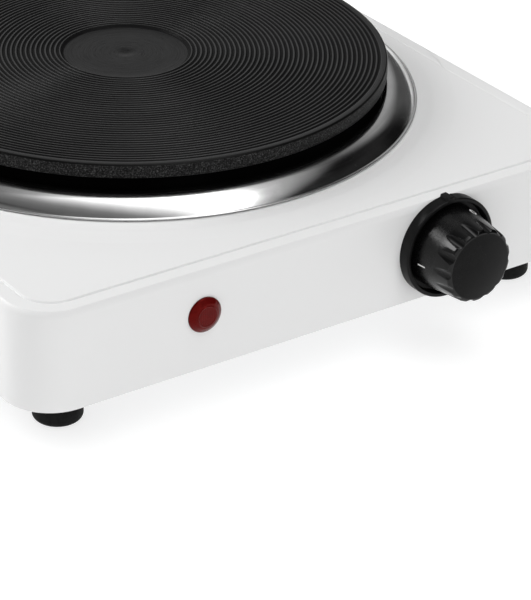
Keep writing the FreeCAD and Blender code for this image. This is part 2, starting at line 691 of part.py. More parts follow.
def knob():
    rear = Y_FRONT - BEZEL_FLOOR - 0.9
    edge_y = KNOB_FACE_Y + KNOB_DOME
    nose_y = edge_y + 1.4
    web_y = KNOB_FACE_Y + 3.0
    steps = [((6.0, KNOB_FACE_Y + 0.21), (KNOB_FACE_R, edge_y)),
             ((12.7, edge_y + 0.42), (KNOB_NOSE_R, nose_y)),
             (KNOB_SKIRT_R, Y_FRONT - 3.9), (KNOB_SKIRT_R + 0.1, rear), (KNOB_SKIRT_R - 1.6, rear),
             (KNOB_NOSE_R - 2.2, web_y), (5.2, web_y), (5.2, HUB_END), (0, HUB_END)]
    body = turned_about_y((0, KNOB_FACE_Y), steps, 0, 0)
    body = body.cut([flute(index) for index in range(KNOB_FLUTES)])
    bore = rod(SPINDLE_RADIUS + FIT_GAP, 0, 0, SPINDLE_TIP - 0.2, HUB_END + 1)
    key = box(-4, 4, SPINDLE_TIP - 1, SPINDLE_TIP + 10 - FIT_GAP,
              SPINDLE_RADIUS - FLAT_DEPTH + FIT_GAP, 4)
    return body.cut(bore.cut(key)).translated(point(KNOB_X, 0, KNOB_Z))


def knob_clip():
    """The split spring ring that tightens the hub on the spindle."""
    ring = rod(5.8, KNOB_X, KNOB_Z, HUB_END - 5.0, HUB_END - 1.0)
    ring = ring.cut(rod(5.2 + FIT_GAP, KNOB_X, KNOB_Z, HUB_END - 6.0, HUB_END))
    return ring.cut(box(KNOB_X - 1.5, KNOB_X + 1.5, HUB_END - 6, HUB_END, KNOB_Z - 8, KNOB_Z))


def knob_bezel():
    """The black collar round the knob, with its pointer rib on top."""
    front = Y_FRONT - BEZEL_DEPTH
    inner = BEZEL_RADIUS - 1.4
    steps = [(BEZEL_RADIUS, Y_FRONT), (BEZEL_RADIUS, front + 0.4), (BEZEL_RADIUS - 0.4, front),
             (inner, front), (inner, NUT_FACE), (5.0, NUT_FACE)]
    ring = turned_about_y((5.0, Y_FRONT), steps, 0, 0)
    rib = box(-1.25, 1.25, front, Y_FRONT, BEZEL_RADIUS - 0.6, BEZEL_RADIUS + 1.0)
    rib = rib.rotated(point(0, 0, 0), BACK, -POINTER_LEAN)
    return ring.fuse(rib).removeSplitter().translated(point(KNOB_X, 0, KNOB_Z))


# ---- pilot lamp ---------------------------------------------------------------
def lamp_lens():
    """The red lens with its barrel through the front wall."""
    front = Y_FRONT - 2.0
    steps = [((3.0, front + 0.15), (5.2, front + 0.5)), (6.2, Y_FRONT - 0.7), (6.2, Y_FRONT),
             (5.3, Y_FRONT), (5.3, Y_FRONT + 13), (4.3, Y_FRONT + 13), (4.3, Y_FRONT - 0.2),
             (0, Y_FRONT - 0.2)]
    return turned_about_y((0, front), steps, LAMP_X, LAMP_Z)


def neon_bulb():
    """A glass capsule with a round tip."""
    tip = Y_FRONT + 0.6
    radius = 2.9
    steps = [arc_step((0, tip + radius), radius, -90, 0), (radius, Y_FRONT + 10), (0, Y_FRONT + 10)]
    return turned_about_y((0, tip), steps, LAMP_X, LAMP_Z)


def lamp_cap():
    """The plug that closes the barrel and carries the bulb."""
    plug = rod(4.2, LAMP_X, LAMP_Z, Y_FRONT + 10, Y_FRONT + 13)
    return plug.fuse(rod(5.3, LAMP_X, LAMP_Z, Y_FRONT + 13, Y_FRONT + 14.5)).removeSplitter()


def lamp_clip():
    """The toothed spring washer that holds the barrel behind the wall."""
    ring = rod(8.5, LAMP_X, LAMP_Z, WALL_INNER, WALL_INNER + 0.5)
    ring = ring.cut(rod(5.3 + FIT_GAP, LAMP_X, LAMP_Z, WALL_INNER - 1, WALL_INNER + 2))
    notch = box(-0.4, 0.4, WALL_INNER - 1, WALL_INNER + 2, 5.0, 7.3)
    turns = [notch.rotated(point(0, 0, 0), BACK, 60 * k) for k in range(6)]
    return ring.cut([turn.translated(point(LAMP_X, 0, LAMP_Z)) for turn in turns])


def lamp_resistor():
    return rod(1.6, LAMP_X + 2.2, LAMP_Z, Y_FRONT + 14.5, Y_FRONT + 22.5)


# ---- mains connection ---------------------------------------------------------
def pole_places():
    return [GLAND_X + step * POLE_SPACING for step in (-1, 0, 1)]


def mains_terminal_block():
    """The three-pole strip on the base plate."""
    block = box(GLAND_X - BLOCK_HALF_SPAN, GLAND_X + BLOCK_HALF_SPAN, POLE_FACE, POLE_FACE + BLOCK_DEPTH,
                BASE_TOP, BLOCK_TOP)
    cutters = [post(1.5 + FIT_GAP, BLOCK_SCREW_X, BLOCK_Y, 10, 40)]
    for x in pole_places():
        cutters.append(rod(2.6 + FIT_GAP, x, POLE_Z, POLE_FACE - 1, POLE_FACE + BLOCK_DEPTH + 1))
        for y in (BLOCK_Y - 4.5, BLOCK_Y + 4.5):
            cutters.append(post(1.8, x, y, POLE_Z, BLOCK_TOP + 1))
    return block.cut(cutters)


def mains_terminals():
    """Brass sleeves of the three poles, open at the back for the cord's conductors."""
    sleeves = []
    for x in pole_places():
        sleeve = rod(2.6, x, POLE_Z, POLE_FACE, POLE_FACE + BLOCK_DEPTH)
        holes = [rod(1.5, x, POLE_Z, BLOCK_Y + 1, POLE_FACE + BLOCK_DEPTH + 1)]
        holes += [post(1.4 + FIT_GAP, x, y, POLE_Z, BLOCK_TOP) for y in (BLOCK_Y - 4.5, BLOCK_Y + 4.5)]
        sleeves.append(sleeve.cut(holes))
    return Part.makeCompound(sleeves)


def mains_terminal_screws():
    screws = []
    for x in pole_places():
        for y in (BLOCK_Y - 4.5, BLOCK_Y + 4.5):
            low = POLE_Z + 1.6
            grub = post(1.4, x, y, low, BLOCK_TOP - 0.8)
            screws.append(grub.cut(box(x - 2, x + 2, y - 0.25, y + 0.25, BLOCK_TOP - 1.6, BLOCK_TOP)))
    return Part.makeCompound(screws)


def block_screw():
    """The screw through the strip into the base plate, head up."""
    fixing = screw(1.45, BLOCK_TOP - BASE_BOTTOM + 1.0, 2.4, 1.5)
    return fixing.rotated(point(0, 0, 0), point(1, 0, 0), 180).translated(
        point(BLOCK_SCREW_X, BLOCK_Y, BLOCK_TOP))


def earth_screw():
    return screw(1.95, 9.0, 3.6, 1.8).translated(point(EARTH_X, EARTH_Y, BASE_BOTTOM))


def earth_terminal():
    """The ring terminal on the earth screw, with its crimp barrel towards the front."""
    low, high = BASE_TOP, BASE_TOP + 0.8
    ring = post(4.0, EARTH_X, EARTH_Y, low, high)
    ring = ring.fuse(box(EARTH_X - 2, EARTH_X + 2, EARTH_Y - 7, EARTH_Y, low, high))
    ring = ring.fuse(box(EARTH_X - 1.7, EARTH_X + 1.7, EARTH_Y - 11, EARTH_Y - 6, low, low + 3.2))
    return ring.removeSplitter().cut(post(2.1, EARTH_X, EARTH_Y, low - 1, high + 1))


def earth_washer():
    low = BASE_TOP + 0.8
    washer = post(3.9, EARTH_X, EARTH_Y, low, low + 0.7)
    notch = box(-0.4, 0.4, 3.0, 4.5, low - 1, low + 2)
    teeth = [notch.rotated(point(0, 0, 0), UP, 45 * k) for k in range(8)]
    washer = washer.cut([tooth.translated(point(EARTH_X, EARTH_Y, 0)) for tooth in teeth])
    return washer.cut(post(2.1, EARTH_X, EARTH_Y, low - 1, low + 2))


def earth_nut():
    return hex_nut(7.0, 3.2, 1.95 + FIT_GAP).translated(point(EARTH_X, EARTH_Y, BASE_TOP + 1.5))


def cord_gland():
    """The black bushing in the back wall, with the cord's bore."""
    steps = [(CORD_BORE, Y_BACK + GLAND_PROUD), (6.0, Y_BACK + GLAND_PROUD), (6.6, Y_BACK + 2.4),
             (9.5, Y_BACK + 1.8), (9.5, Y_BACK), (6.9, Y_BACK), (6.9, Y_BACK - WALL),
             (8.6, Y_BACK - WALL), (8.2, Y_BACK - 4.0), (CORD_BORE, Y_BACK - 4.0)]
    return turned_about_y(steps[0], steps[1:], GLAND_X, GLAND_Z)


# ---- feet ---------------------------------------------------------------------
def foot_places():
    x = HALF_WIDTH - FOOT_INSET
    return [(-x, Y_FRONT + FOOT_INSET), (x, Y_FRONT + FOOT_INSET),
            (-x, Y_BACK - FOOT_INSET), (x, Y_BACK - FOOT_INSET)]


def foot(x, y):
    """A rubber foot with a rounded lower edge and a pocket for its screw's head."""
    base = 6.2
    edge = FOOT_RADIUS - base
    face = outline((2.1, 7.0), [(4.2, 7.0), (4.2, 0), (base, 0), arc_step((base, edge), edge, -90, 0),
                                (FOOT_RADIUS - 0.3, BASE_BOTTOM), (2.1, BASE_BOTTOM)],
                   lambda r, z: point(r, 0, z))
    return face.revolve(point(0, 0, 0), UP, 360).translated(point(x, y, 0))


def foot_screws():
    single = screw(1.9, 14.5, 3.9, 2.4)
    return Part.makeCompound([single.translated(point(x, y, 7.0)) for x, y in foot_places()])


# ---- internal leads -----------------------------------------------------------
def barrel_end(y, z, offset):
    """A lead's start on the end face of a tab connector."""
    return point(RECEPTACLE_END, y + BLADE / 2, z + offset)


def live_feed_lead():
    right = pole_places()[2]
    end = barrel_end(BLADE_1, KNOB_Z - TAB_DROP, 0)
    return lead("live feed", [point(right, POLE_FACE, POLE_Z), point(right, 66, POLE_Z),
                              point(88, 42, 23.5), point(97, 2, 23.0), point(98, -44, 23.5),
                              point(97, -84, 26.0), end + point(13, 0, 0), end], LEAD_RADIUS)


def live_plate_lead():
    start = from_plate(BLOCK_ALONG + BLOCK_HALF_LENGTH, -POLE_OFFSET, TERMINAL_Z)
    end = barrel_end(BLADE_2, KNOB_Z + TAB_DROP, 1.2)
    return lead("live to plate", [start, from_plate(BLOCK_ALONG + 20, -POLE_OFFSET, TERMINAL_Z),
                                  from_plate(BLOCK_ALONG + 30, -3, 38.0), point(56, -72, 33.0),
                                  point(78, -84, 35.0), point(88, -92, 38.5),
                                  end + point(7, 0, 0), end], LEAD_RADIUS)


def neutral_lead():
    middle = pole_places()[1]
    start = from_plate(BLOCK_ALONG - BLOCK_HALF_LENGTH, POLE_OFFSET, TERMINAL_Z)
    return lead("neutral", [start, from_plate(BLOCK_ALONG - 18, POLE_OFFSET, TERMINAL_Z),
                            from_plate(BLOCK_ALONG - 20, 7, 37.0), point(24, 14, 29.0),
                            point(40, 44, 25.0), point(middle, 64, 25.4),
                            point(middle, POLE_FACE, 25.4)], LEAD_RADIUS)


def earth_lead():
    left = pole_places()[0]
    return lead("earth", [point(left, POLE_FACE, POLE_Z), point(left, 74, POLE_Z),
                          point(38, 66, 22.5), point(EARTH_X, 70, 19.9),
                          point(EARTH_X, EARTH_Y - 11, 19.9)], LEAD_RADIUS)


def lamp_live_lead():
    end = barrel_end(BLADE_2, KNOB_Z + TAB_DROP, -1.4)
    return lead("lamp live", [point(LAMP_X + 2.2, Y_FRONT + 22.5, LAMP_Z), point(LAMP_X + 2.2, -80, LAMP_Z),
                              point(-40, -72, 24.0), point(-10, -70, 21.5), point(30, -74, 21.5),
                              point(64, -80, 23.0), point(84, -86, 28.0),
                              end + point(6, 0, 0), end], LAMP_LEAD_RADIUS)


def lamp_neutral_lead():
    middle = pole_places()[1]
    return lead("lamp neutral", [point(LAMP_X - 2.5, Y_FRONT + 14.5, LAMP_Z), point(LAMP_X - 2.5, -86, LAMP_Z),
                                 point(LAMP_X - 4, -74, 24.0), point(-44, -40, 20.5), point(-14, 6, 20.0),
                                 point(22, 46, 20.0), point(middle - 4, 66, 22.0),
                                 point(middle, 76, 22.7), point(middle, POLE_FACE, 22.7)],
                LAMP_LEAD_RADIUS)


# ---- output -------------------------------------------------------------------
NODES = {
    "housing_shell": housing_shell, "base_plate": base_plate,
    "hotplate_casting": hotplate_casting, "heating_coil": heating_coil,
    "insulating_filler": insulating_filler, "coil_pins": coil_pins, "terminal_beads": terminal_beads,
    "underside_cover": underside_cover, "trim_ring": trim_ring,
    "centre_stud": centre_stud, "stud_washers": stud_washers, "stud_nuts": stud_nuts,
    "crossbar": crossbar, "heat_shield": heat_shield,
    "plate_terminal_block": plate_terminal_block, "plate_terminals": plate_terminals,
    "plate_terminal_screws": plate_terminal_screws, "block_rivet": block_rivet,
    "thermostat_bracket": thermostat_bracket, "thermostat_bush": thermostat_bush,
    "bush_nut": bush_nut, "thermostat_insulators": thermostat_insulators,
    "fixed_contact_blade": fixed_contact_blade, "moving_contact_blade": moving_contact_blade,
    "bimetal_blade": bimetal_blade, "thermostat_rivet": thermostat_rivet,
    "tab_receptacles": tab_receptacles,
    "spindle": spindle, "knob": knob, "knob_clip": knob_clip, "knob_bezel": knob_bezel,
    "lamp_lens": lamp_lens, "neon_bulb": neon_bulb, "lamp_cap": lamp_cap,
    "lamp_clip": lamp_clip, "lamp_resistor": lamp_resistor,
    "mains_terminal_block": mains_terminal_block, "mains_terminals": mains_terminals,
    "mains_terminal_screws": mains_terminal_screws, "block_screw": block_screw,
    "earth_screw": earth_screw, "earth_terminal": earth_terminal, "earth_washer": earth_washer,
    "earth_nut": earth_nut, "cord_gland": cord_gland, "foot_screws": foot_screws,
    "live_feed_lead": live_feed_lead, "live_plate_lead": live_plate_lead,
    "neutral_lead": neutral_lead, "earth_lead": earth_lead,
    "lamp_live_lead": lamp_live_lead, "lamp_neutral_lead": lamp_neutral_lead,
}


def write(name, shape):
    """Check one node and write its STEP file."""
    if not shape.isValid():
        print("NOT VALID", name)
    shape.exportStep(os.path.join("parts", name + ".step"))
    print(name, "solids", len(shape.Solids), "volume", round(shape.Volume, 1))


def main():
    os.makedirs("parts", exist_ok=True)
    for name, build in NODES.items():
        write(name, build())
    corners = ("front_left", "front_right", "rear_left", "rear_right")
    for corner, (x, y) in zip(corners, foot_places()):
        write("foot_" + corner, foot(x, y))


main()
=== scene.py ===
import json
import math

import bmesh
import bpy
import numpy as np
from mathutils import Matrix, Vector


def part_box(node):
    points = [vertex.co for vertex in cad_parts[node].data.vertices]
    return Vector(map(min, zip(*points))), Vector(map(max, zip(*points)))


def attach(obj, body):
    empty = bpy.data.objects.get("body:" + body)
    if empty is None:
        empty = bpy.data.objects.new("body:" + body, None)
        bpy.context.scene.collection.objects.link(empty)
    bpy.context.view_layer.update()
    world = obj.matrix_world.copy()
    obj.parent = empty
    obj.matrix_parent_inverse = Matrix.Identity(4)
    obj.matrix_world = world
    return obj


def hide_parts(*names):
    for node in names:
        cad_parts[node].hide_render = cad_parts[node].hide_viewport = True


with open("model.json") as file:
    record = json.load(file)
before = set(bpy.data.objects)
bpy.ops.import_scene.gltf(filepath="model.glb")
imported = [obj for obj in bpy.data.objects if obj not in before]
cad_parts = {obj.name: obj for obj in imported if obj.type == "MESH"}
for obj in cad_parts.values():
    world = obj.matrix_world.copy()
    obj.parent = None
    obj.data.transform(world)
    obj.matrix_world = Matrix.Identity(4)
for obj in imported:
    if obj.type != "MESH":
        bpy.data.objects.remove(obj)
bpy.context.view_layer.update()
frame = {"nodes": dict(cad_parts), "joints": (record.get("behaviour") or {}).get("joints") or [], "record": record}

# Portable electric hot plate. Shapes are worked out in millimetres and become metres
# when their mesh is made. +X is right seen from the front, -Y is the front, +Z is up.
MM = 0.001

# ---- camera, in metres and degrees --------------------------------------------
CAMERA_AIM = Vector((-0.0286, -0.1142, 0.0350))
CAMERA_DISTANCE = 0.934
CAMERA_AZIMUTH = -35.66
CAMERA_ELEVATION = 28.67
CAMERA_ROLL = 1.49
CAMERA_LENS = 174.2
SENSOR_WIDTH = 36.0


# ---- places taken from the frame ----------------------------------------------
def node_box(node):
    """Lowest and highest corner of a CAD node, in millimetres."""
    low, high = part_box(node)
    return low / MM, high / MM


def middle(low, high):
    return (low + high) / 2


shell_low, shell_high = node_box("housing_shell")
plate_low, plate_high = node_box("hotplate_casting")
ring_low, ring_high = node_box("trim_ring")
knob_low, knob_high = node_box("knob")
bezel_low, bezel_high = node_box("knob_bezel")
lens_low, lens_high = node_box("lamp_lens")
gland_low, gland_high = node_box("cord_gland")

HALF_WIDTH = shell_high.x
Y_FRONT, Y_BACK = bezel_high.y, shell_high.y
BODY_BOTTOM, LAND_TOP = shell_low.z, shell_high.z
PLATE = middle(plate_low, plate_high)
PLATE_RADIUS = plate_high.x - PLATE.x
PLATE_TOP, SKIRT_BOTTOM = plate_high.z, plate_low.z
RING_RADIUS = ring_high.x
RING_CREST, RING_FOOT = ring_high.z, ring_low.z
KNOB = Vector(frame["joints"][0]["pos_m"]) / MM
KNOB_FACE, KNOB_REAR = knob_low.y, knob_high.y
KNOB_SKIRT = knob_high.x - KNOB.x
BEZEL_RADIUS = bezel_high.x - KNOB.x
BEZEL_FRONT = bezel_low.y
LENS = middle(lens_low, lens_high)
LENS_RADIUS = lens_high.x - LENS.x
GLAND = middle(gland_low, gland_high)
GLAND_RADIUS = gland_high.x - GLAND.x

# ---- shape details, in millimetres ---------------------------------------------
WALL = 0.9
BODY_CORNER = 17.0
TOP_FILLET = 2.5
BORDER_TOP = LAND_TOP - 0.9
FIELD_TOP = LAND_TOP - 0.5
FIELD_SIDE_INSET, FIELD_FRONT_INSET, FIELD_CORNER = 6.5, 6.0, 11.2
FIELD_STEP = 0.55
CREASE_WIDTH, CREASE_DEPTH = 0.24, 0.2
LAND_RADIUS, LAND_FOOT = 109.3, 117.0
OPENING_RADIUS = 93.0

RIM_HEIGHT, RIM_ROUND = 5.0, 0.7
RECESS_RADIUS, RECESS_DEPTH = 23.0, 0.9
DIMPLE_RADIUS, DIMPLE_DEPTH = 4.4, 0.5
GROOVE_START, GROOVE_PITCH, GROOVE_COUNT, GROOVE_DEPTH, GROOVE_LAND = 23.46, 1.72, 39, 0.5, 0.5
NECK_RADIUS, SHOULDER_Z, SKIRT_RADIUS, SKIRT_INNER = 90.1, 57.7, 88.0, 81.5
RIB_BOTTOM, WEB_BOTTOM = 54.5, 62.5
COIL_RADIUS, COIL_STEP, COIL_HALF_TURNS, COIL_BEARING = 24.0, 5.5, 10, -60.0

RING_SHEET, RING_CREST_R, RING_INNER_R, RING_LIP = 0.7, 92.7, 88.2, 1.0

KNOB_FLUTES, FLUTE_RADIUS = 14, 2.4
KNOB_FACE_R, KNOB_NOSE_R, KNOB_DOME, NOSE_LENGTH = 11.6, 13.1, 1.3, 1.2
NUMERAL_HEIGHT, NUMERAL_Y = 3.3, 14.2
NUMERALS = {"0": 63.0, "1": 186.0, "2": 241.0, "3": 296.0, "4": 351.0}
POINTER_LEAN = 2.8


# ---- mesh helpers ---------------------------------------------------------------
def arc(centre, radius, start, end, steps):
    """Points of an arc in a profile's plane, both ends included, angles in degrees."""
    angles = np.radians(np.linspace(start, end, steps + 1))
    return [(centre[0] + radius * math.cos(a), centre[1] + radius * math.sin(a)) for a in angles]


def smooth_step(value):
    value = np.clip(value, 0.0, 1.0)
    return value * value * (3.0 - 2.0 * value)


def smooth_max(a, b, blend):
    """The larger of two heights, with a rounded valley of about the blend's size."""
    share = np.clip(0.5 + 0.5 * (a - b) / blend, 0.0, 1.0)
    return b + (a - b) * share + blend * share * (1.0 - share)


def smooth_min(a, b, blend):
    return -smooth_max(-a, -b, blend)


def grid_faces(rows, columns, close_rows):
    """Quads of a grid whose columns always close on themselves."""
    last = rows if close_rows else rows - 1
    faces = []
    for row in range(last):
        low = row * columns
        high = ((row + 1) % rows) * columns
        for column in range(columns):
            after = (column + 1) % columns
            faces.append((low + column, low + after, high + after, high + column))
    return faces


def lathe(profile, segments, closed=True):
    """Vertices (radius, angle, height) and faces of a profile turned about its axis.

    A profile that isn't closed starts and ends on the axis, and is capped by fans there.
    """
    ring = profile if closed else profile[1:-1]
    angles = np.linspace(0.0, 2.0 * math.pi, segments, endpoint=False)
    turned = np.array([(r, a, h) for r, h in ring for a in angles])
    faces = grid_faces(len(ring), segments, closed)
    if not closed:
        start, end = len(turned), len(turned) + 1
        last_row = (len(ring) - 1) * segments
        for column in range(segments):
            after = (column + 1) % segments
            faces.append((start, after, column))
            faces.append((end, last_row + column, last_row + after))
        ends = [(0.0, 0.0, profile[0][1]), (0.0, 0.0, profile[-1][1])]
        turned = np.vstack([turned, ends])
    return turned, faces


def upright(turned, centre):
    """Turned points about a vertical axis."""
    r, a, h = turned.T
    return np.column_stack([centre[0] + r * np.cos(a), centre[1] + r * np.sin(a), h])


def lying(turned, centre):
    """Turned points about an axis along Y, with the angle from +X towards +Z."""
    r, a, h = turned.T
    return np.column_stack([centre[0] + r * np.cos(a), h, centre[2] + r * np.sin(a)])


def new_mesh(name, points, faces, sharp):
    """A smooth shaded mesh in metres, with edges sharper than an angle kept sharp."""
    mesh = bpy.data.meshes.new(name)
    mesh.from_pydata((np.asarray(points) * MM).tolist(), [], faces)
    edit = bmesh.new()
    edit.from_mesh(mesh)
    bmesh.ops.remove_doubles(edit, verts=edit.verts, dist=1e-8)
    bmesh.ops.recalc_face_normals(edit, faces=edit.faces)
    edit.to_mesh(mesh)
    edit.free()
    mesh.shade_smooth()
    mesh.set_sharp_from_angle(angle=math.radians(sharp))
    return mesh


def place(name, mesh, material, body, replaced):
    """A new piece that rides on a body and stands for CAD nodes."""
    piece = bpy.data.objects.new(name, mesh)
    bpy.context.scene.collection.objects.link(piece)
    mesh.materials.append(material)
    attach(piece, body)
    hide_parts(*replaced)
    return piece


def merged(parts):
    """One list of vertices and one of faces from several."""
    points, faces = [], []
    count = 0
    for part_points, part_faces in parts:
        points.append(np.asarray(part_points))
        faces += [tuple(index + count for index in face) for face in part_faces]
        count += len(part_points)
    return np.vstack(points), faces


def cut(mesh, cutters, sharp):
    """The mesh less some closed shapes, by Blender's boolean modifier."""
    body = bpy.data.objects.new("cut_body", mesh)
    bpy.context.scene.collection.objects.link(body)
    tools = []
    for points, faces in cutters:
        tool = bpy.data.objects.new("cut_tool", new_mesh("cut_tool", points, faces, sharp))
        bpy.context.scene.collection.objects.link(tool)
        tools.append(tool)
        modifier = body.modifiers.new("cut", "BOOLEAN")
        modifier.operation = "DIFFERENCE"
        modifier.solver = "MANIFOLD"
        modifier.object = tool
    evaluated = body.evaluated_get(bpy.context.evaluated_depsgraph_get())
    result = bpy.data.meshes.new_from_object(evaluated)
    for made in tools + [body]:
        bpy.data.objects.remove(made)
    result.materials.clear()
    result.polygons.foreach_set("material_index", [0] * len(result.polygons))
    result.shade_smooth()
    result.set_sharp_from_angle(angle=math.radians(sharp))
    return result


# ---- node materials ---------------------------------------------------------------
def start_material(name, **fixed):
    """A material with its shader's fixed values, its tree and its shader."""
    made = bpy.data.materials.new(name)
    made.use_nodes = True
    shader = made.node_tree.nodes["Principled BSDF"]
    for socket, value in fixed.items():
        shader.inputs[socket.replace("_", " ")].default_value = value
    return made, made.node_tree, shader


def add(tree, kind, inputs, **settings):
    """A new node's first output. Inputs are values or the outputs of other nodes."""
    made = tree.nodes.new("ShaderNode" + kind)
    for setting, value in settings.items():
        setattr(made, setting, value)
    for socket, value in inputs.items():
        if isinstance(value, bpy.types.NodeSocket):
            tree.links.new(value, made.inputs[socket])
        else:
            made.inputs[socket].default_value = value
    return made.outputs[0]


def place_of(tree):
    """The point's place in the row frame, in metres."""
    return tree.nodes.new("ShaderNodeTexCoord").outputs["Object"]


def noise(tree, vector, scale, detail=4.0, roughness=0.5):
    return add(tree, "TexNoise", {"Vector": vector, "Scale": scale, "Detail": detail,
                                  "Roughness": roughness})


def ramp(tree, factor, low, high, start=0.3, end=0.7):
    """A colour or a grey value that goes from low to high as the factor goes from start to end."""
    made = tree.nodes.new("ShaderNodeValToRGB")
    tree.links.new(factor, made.inputs["Fac"])
    for element, position, value in zip(made.color_ramp.elements, (start, end), (low, high)):
        element.position = position
        element.color = (*value, 1.0) if isinstance(value, tuple) else (value, value, value, 1.0)
    return made.outputs["Color"]


def bump(tree, height, distance, normal=None):
    inputs = {"Height": height, "Distance": distance, "Strength": 1.0}
    if normal is not None:
        inputs["Normal"] = normal
    return add(tree, "Bump", inputs)


def math_node(tree, operation, a, b=0.0):
    return add(tree, "Math", {0: a, 1: b}, operation=operation)


def mix(tree, factor, first, second):
    """The first colour where the factor is 0, and the second where it is 1."""
    made = tree.nodes.new("ShaderNodeMixRGB")
    for socket, value in zip(("Fac", "Color1", "Color2"), (factor, first, second)):
        tree.links.new(value, made.inputs[socket])
    return made.outputs["Color"]


def around_plate(tree, turns, scale):
    """A texture place that runs round the plate's axis, with the radius and height in millimetres."""
    shifted = add(tree, "VectorMath", {0: place_of(tree), 1: PLATE * MM}, operation="SUBTRACT")
    split = tree.nodes.new("ShaderNodeSeparateXYZ")
    tree.links.new(shifted, split.inputs[0])
    flat = add(tree, "CombineXYZ", {0: split.outputs["X"], 1: split.outputs["Y"]})
    length = tree.nodes.new("ShaderNodeVectorMath")
    length.operation = "LENGTH"
    tree.links.new(flat, length.inputs[0])
    radius = math_node(tree, "MULTIPLY", length.outputs["Value"], 1.0 / MM)
    height = math_node(tree, "MULTIPLY", split.outputs["Z"], 1.0 / MM)
    across = math_node(tree, "MULTIPLY", math_node(tree, "ADD", radius, height), scale)
    outward = add(tree, "VectorMath", {0: flat}, operation="NORMALIZE")
    slow = add(tree, "VectorMath", {0: outward, 1: (turns, turns, 0.0)}, operation="MULTIPLY")
    where = add(tree, "VectorMath", {0: slow, 1: add(tree, "CombineXYZ", {2: across})}, operation="ADD")
    return where, radius, height


def finish_shader(tree, shader, colour, roughness, normal):
    tree.links.new(colour, shader.inputs["Base Color"])
    tree.links.new(roughness, shader.inputs["Roughness"])
    tree.links.new(normal, shader.inputs["Normal"])


def plain_material(name, dark, light, rough, grain, relief, **fixed):
    """A general finish: tone in patches, finer roughness and a fine relief.

    grain is the patches' scale per metre and relief the relief's height in millimetres.
    """
    made, tree, shader = start_material(name, **fixed)
    where = place_of(tree)
    colour = ramp(tree, noise(tree, where, grain), dark, light)
    roughness = ramp(tree, noise(tree, where, grain * 3.0), rough[0], rough[1])
    normal = bump(tree, noise(tree, where, grain * 6.0, 6.0), relief * MM)
    finish_shader(tree, shader, colour, roughness, normal)
    return made


def enamel_material():
    """Baked white enamel: faint tone patches, and the soft orange peel of a sprayed coat."""
    made, tree, shader = start_material("white_enamel", IOR=1.5, Specular_IOR_Level=0.25)
    where = place_of(tree)
    patches = noise(tree, where, 9.0, 2.0)
    colour = ramp(tree, patches, (0.762, 0.763, 0.764), (0.776, 0.777, 0.776), 0.1, 0.9)
    roughness = ramp(tree, noise(tree, where, 40.0, 3.0), 0.26, 0.34, 0.1, 0.9)
    peel = bump(tree, noise(tree, where, 330.0, 2.0), 0.012 * MM)
    speck = bump(tree, noise(tree, where, 2400.0, 2.0), 0.004 * MM, peel)
    finish_shader(tree, shader, colour, roughness, speck)
    return made


def iron_material():
    """Coated cast iron: turned marks, groove crests, a gloss edge, and on the rim a grain whose bright specks are
    painted glints.
    """
    made, tree, shader = start_material("cast_iron", IOR=1.45)
    marks_place, radius, height = around_plate(tree, 2.0, 4.2)
    where = place_of(tree)
    top = PLATE_TOP - PLATE.z
    marks = noise(tree, marks_place, 1.0, 3.0, 0.6)
    grain = noise(tree, where, 2100.0, 2.0, 0.65)
    patches = noise(tree, where, 38.0, 4.0)
    land_edge, band_width, margin = 1.15, 2.3, 0.05
    crest = ramp(tree, math_node(tree, "SUBTRACT", height, top - 1.0), 0.0, 1.0, 0.93, 0.985)
    floor = math_node(tree, "LESS_THAN", radius, RECESS_RADIUS - land_edge)
    band = math_node(tree, "GREATER_THAN", radius, PLATE_RADIUS - band_width)
    edge = math_node(tree, "GREATER_THAN", radius, PLATE_RADIUS - RIM_ROUND + margin)
    rim = math_node(tree, "GREATER_THAN", radius, PLATE_RADIUS - 0.04)
    below = math_node(tree, "LESS_THAN", height, top - RIM_HEIGHT - margin)
    valley_tone = ramp(tree, patches, (0.007, 0.007, 0.0071), (0.0105, 0.0105, 0.0106))
    crest_tone = ramp(tree, patches, (0.013, 0.013, 0.0132), (0.018, 0.018, 0.0182))
    floor_tone = ramp(tree, marks, (0.004, 0.004, 0.0041), (0.012, 0.012, 0.0122))
    # Rim side: a dark grain with bright specks. The grain is the iron's own; the bright specks are painted glints.
    grain_with_painted_glints = ramp(tree, grain, (0.002, 0.002, 0.002), (0.07, 0.07, 0.07), 0.52, 0.74)
    hidden = ramp(tree, patches, (0.001, 0.001, 0.001), (0.002, 0.002, 0.002))
    colour = mix(tree, floor, mix(tree, crest, valley_tone, crest_tone), floor_tone)
    colour = mix(tree, rim, mix(tree, edge, colour, hidden), grain_with_painted_glints)
    colour = mix(tree, below, colour, hidden)
    gloss = mix(tree, rim, ramp(tree, marks, 0.26, 0.38), ramp(tree, grain, 0.35, 0.7))
    gloss = mix(tree, below, gloss, ramp(tree, grain, 0.8, 0.9))
    shine = mix(tree, floor, ramp(tree, crest, 0.02, 0.44, 0.1, 0.9), ramp(tree, marks, 0.08, 0.24))
    shine = mix(tree, band, shine, ramp(tree, marks, 0.12, 0.2))
    shine = mix(tree, edge, shine, ramp(tree, marks, 0.08, 0.16))
    shine = mix(tree, below, mix(tree, rim, shine, ramp(tree, grain, 0.04, 0.4)), hidden)
    tree.links.new(shine, shader.inputs["Specular IOR Level"])
    shallow = bump(tree, marks, 0.04 * MM)
    normal = mix(tree, rim, shallow, bump(tree, grain, 0.11 * MM))
    finish_shader(tree, shader, colour, gloss, normal)
    return made


def trim_material():
    """Polished steel with fine marks round the ring."""
    made, tree, shader = start_material("polished_trim", Metallic=1.0)
    marks = noise(tree, around_plate(tree, 3.0, 3.4)[0], 1.0, 3.0, 0.6)
    where = place_of(tree)
    colour = ramp(tree, noise(tree, where, 90.0, 3.0), (0.56, 0.56, 0.56), (0.64, 0.64, 0.64))
    roughness = ramp(tree, marks, 0.09, 0.2)
    normal = bump(tree, marks, 0.0012 * MM)
    finish_shader(tree, shader, colour, roughness, normal)
    return made


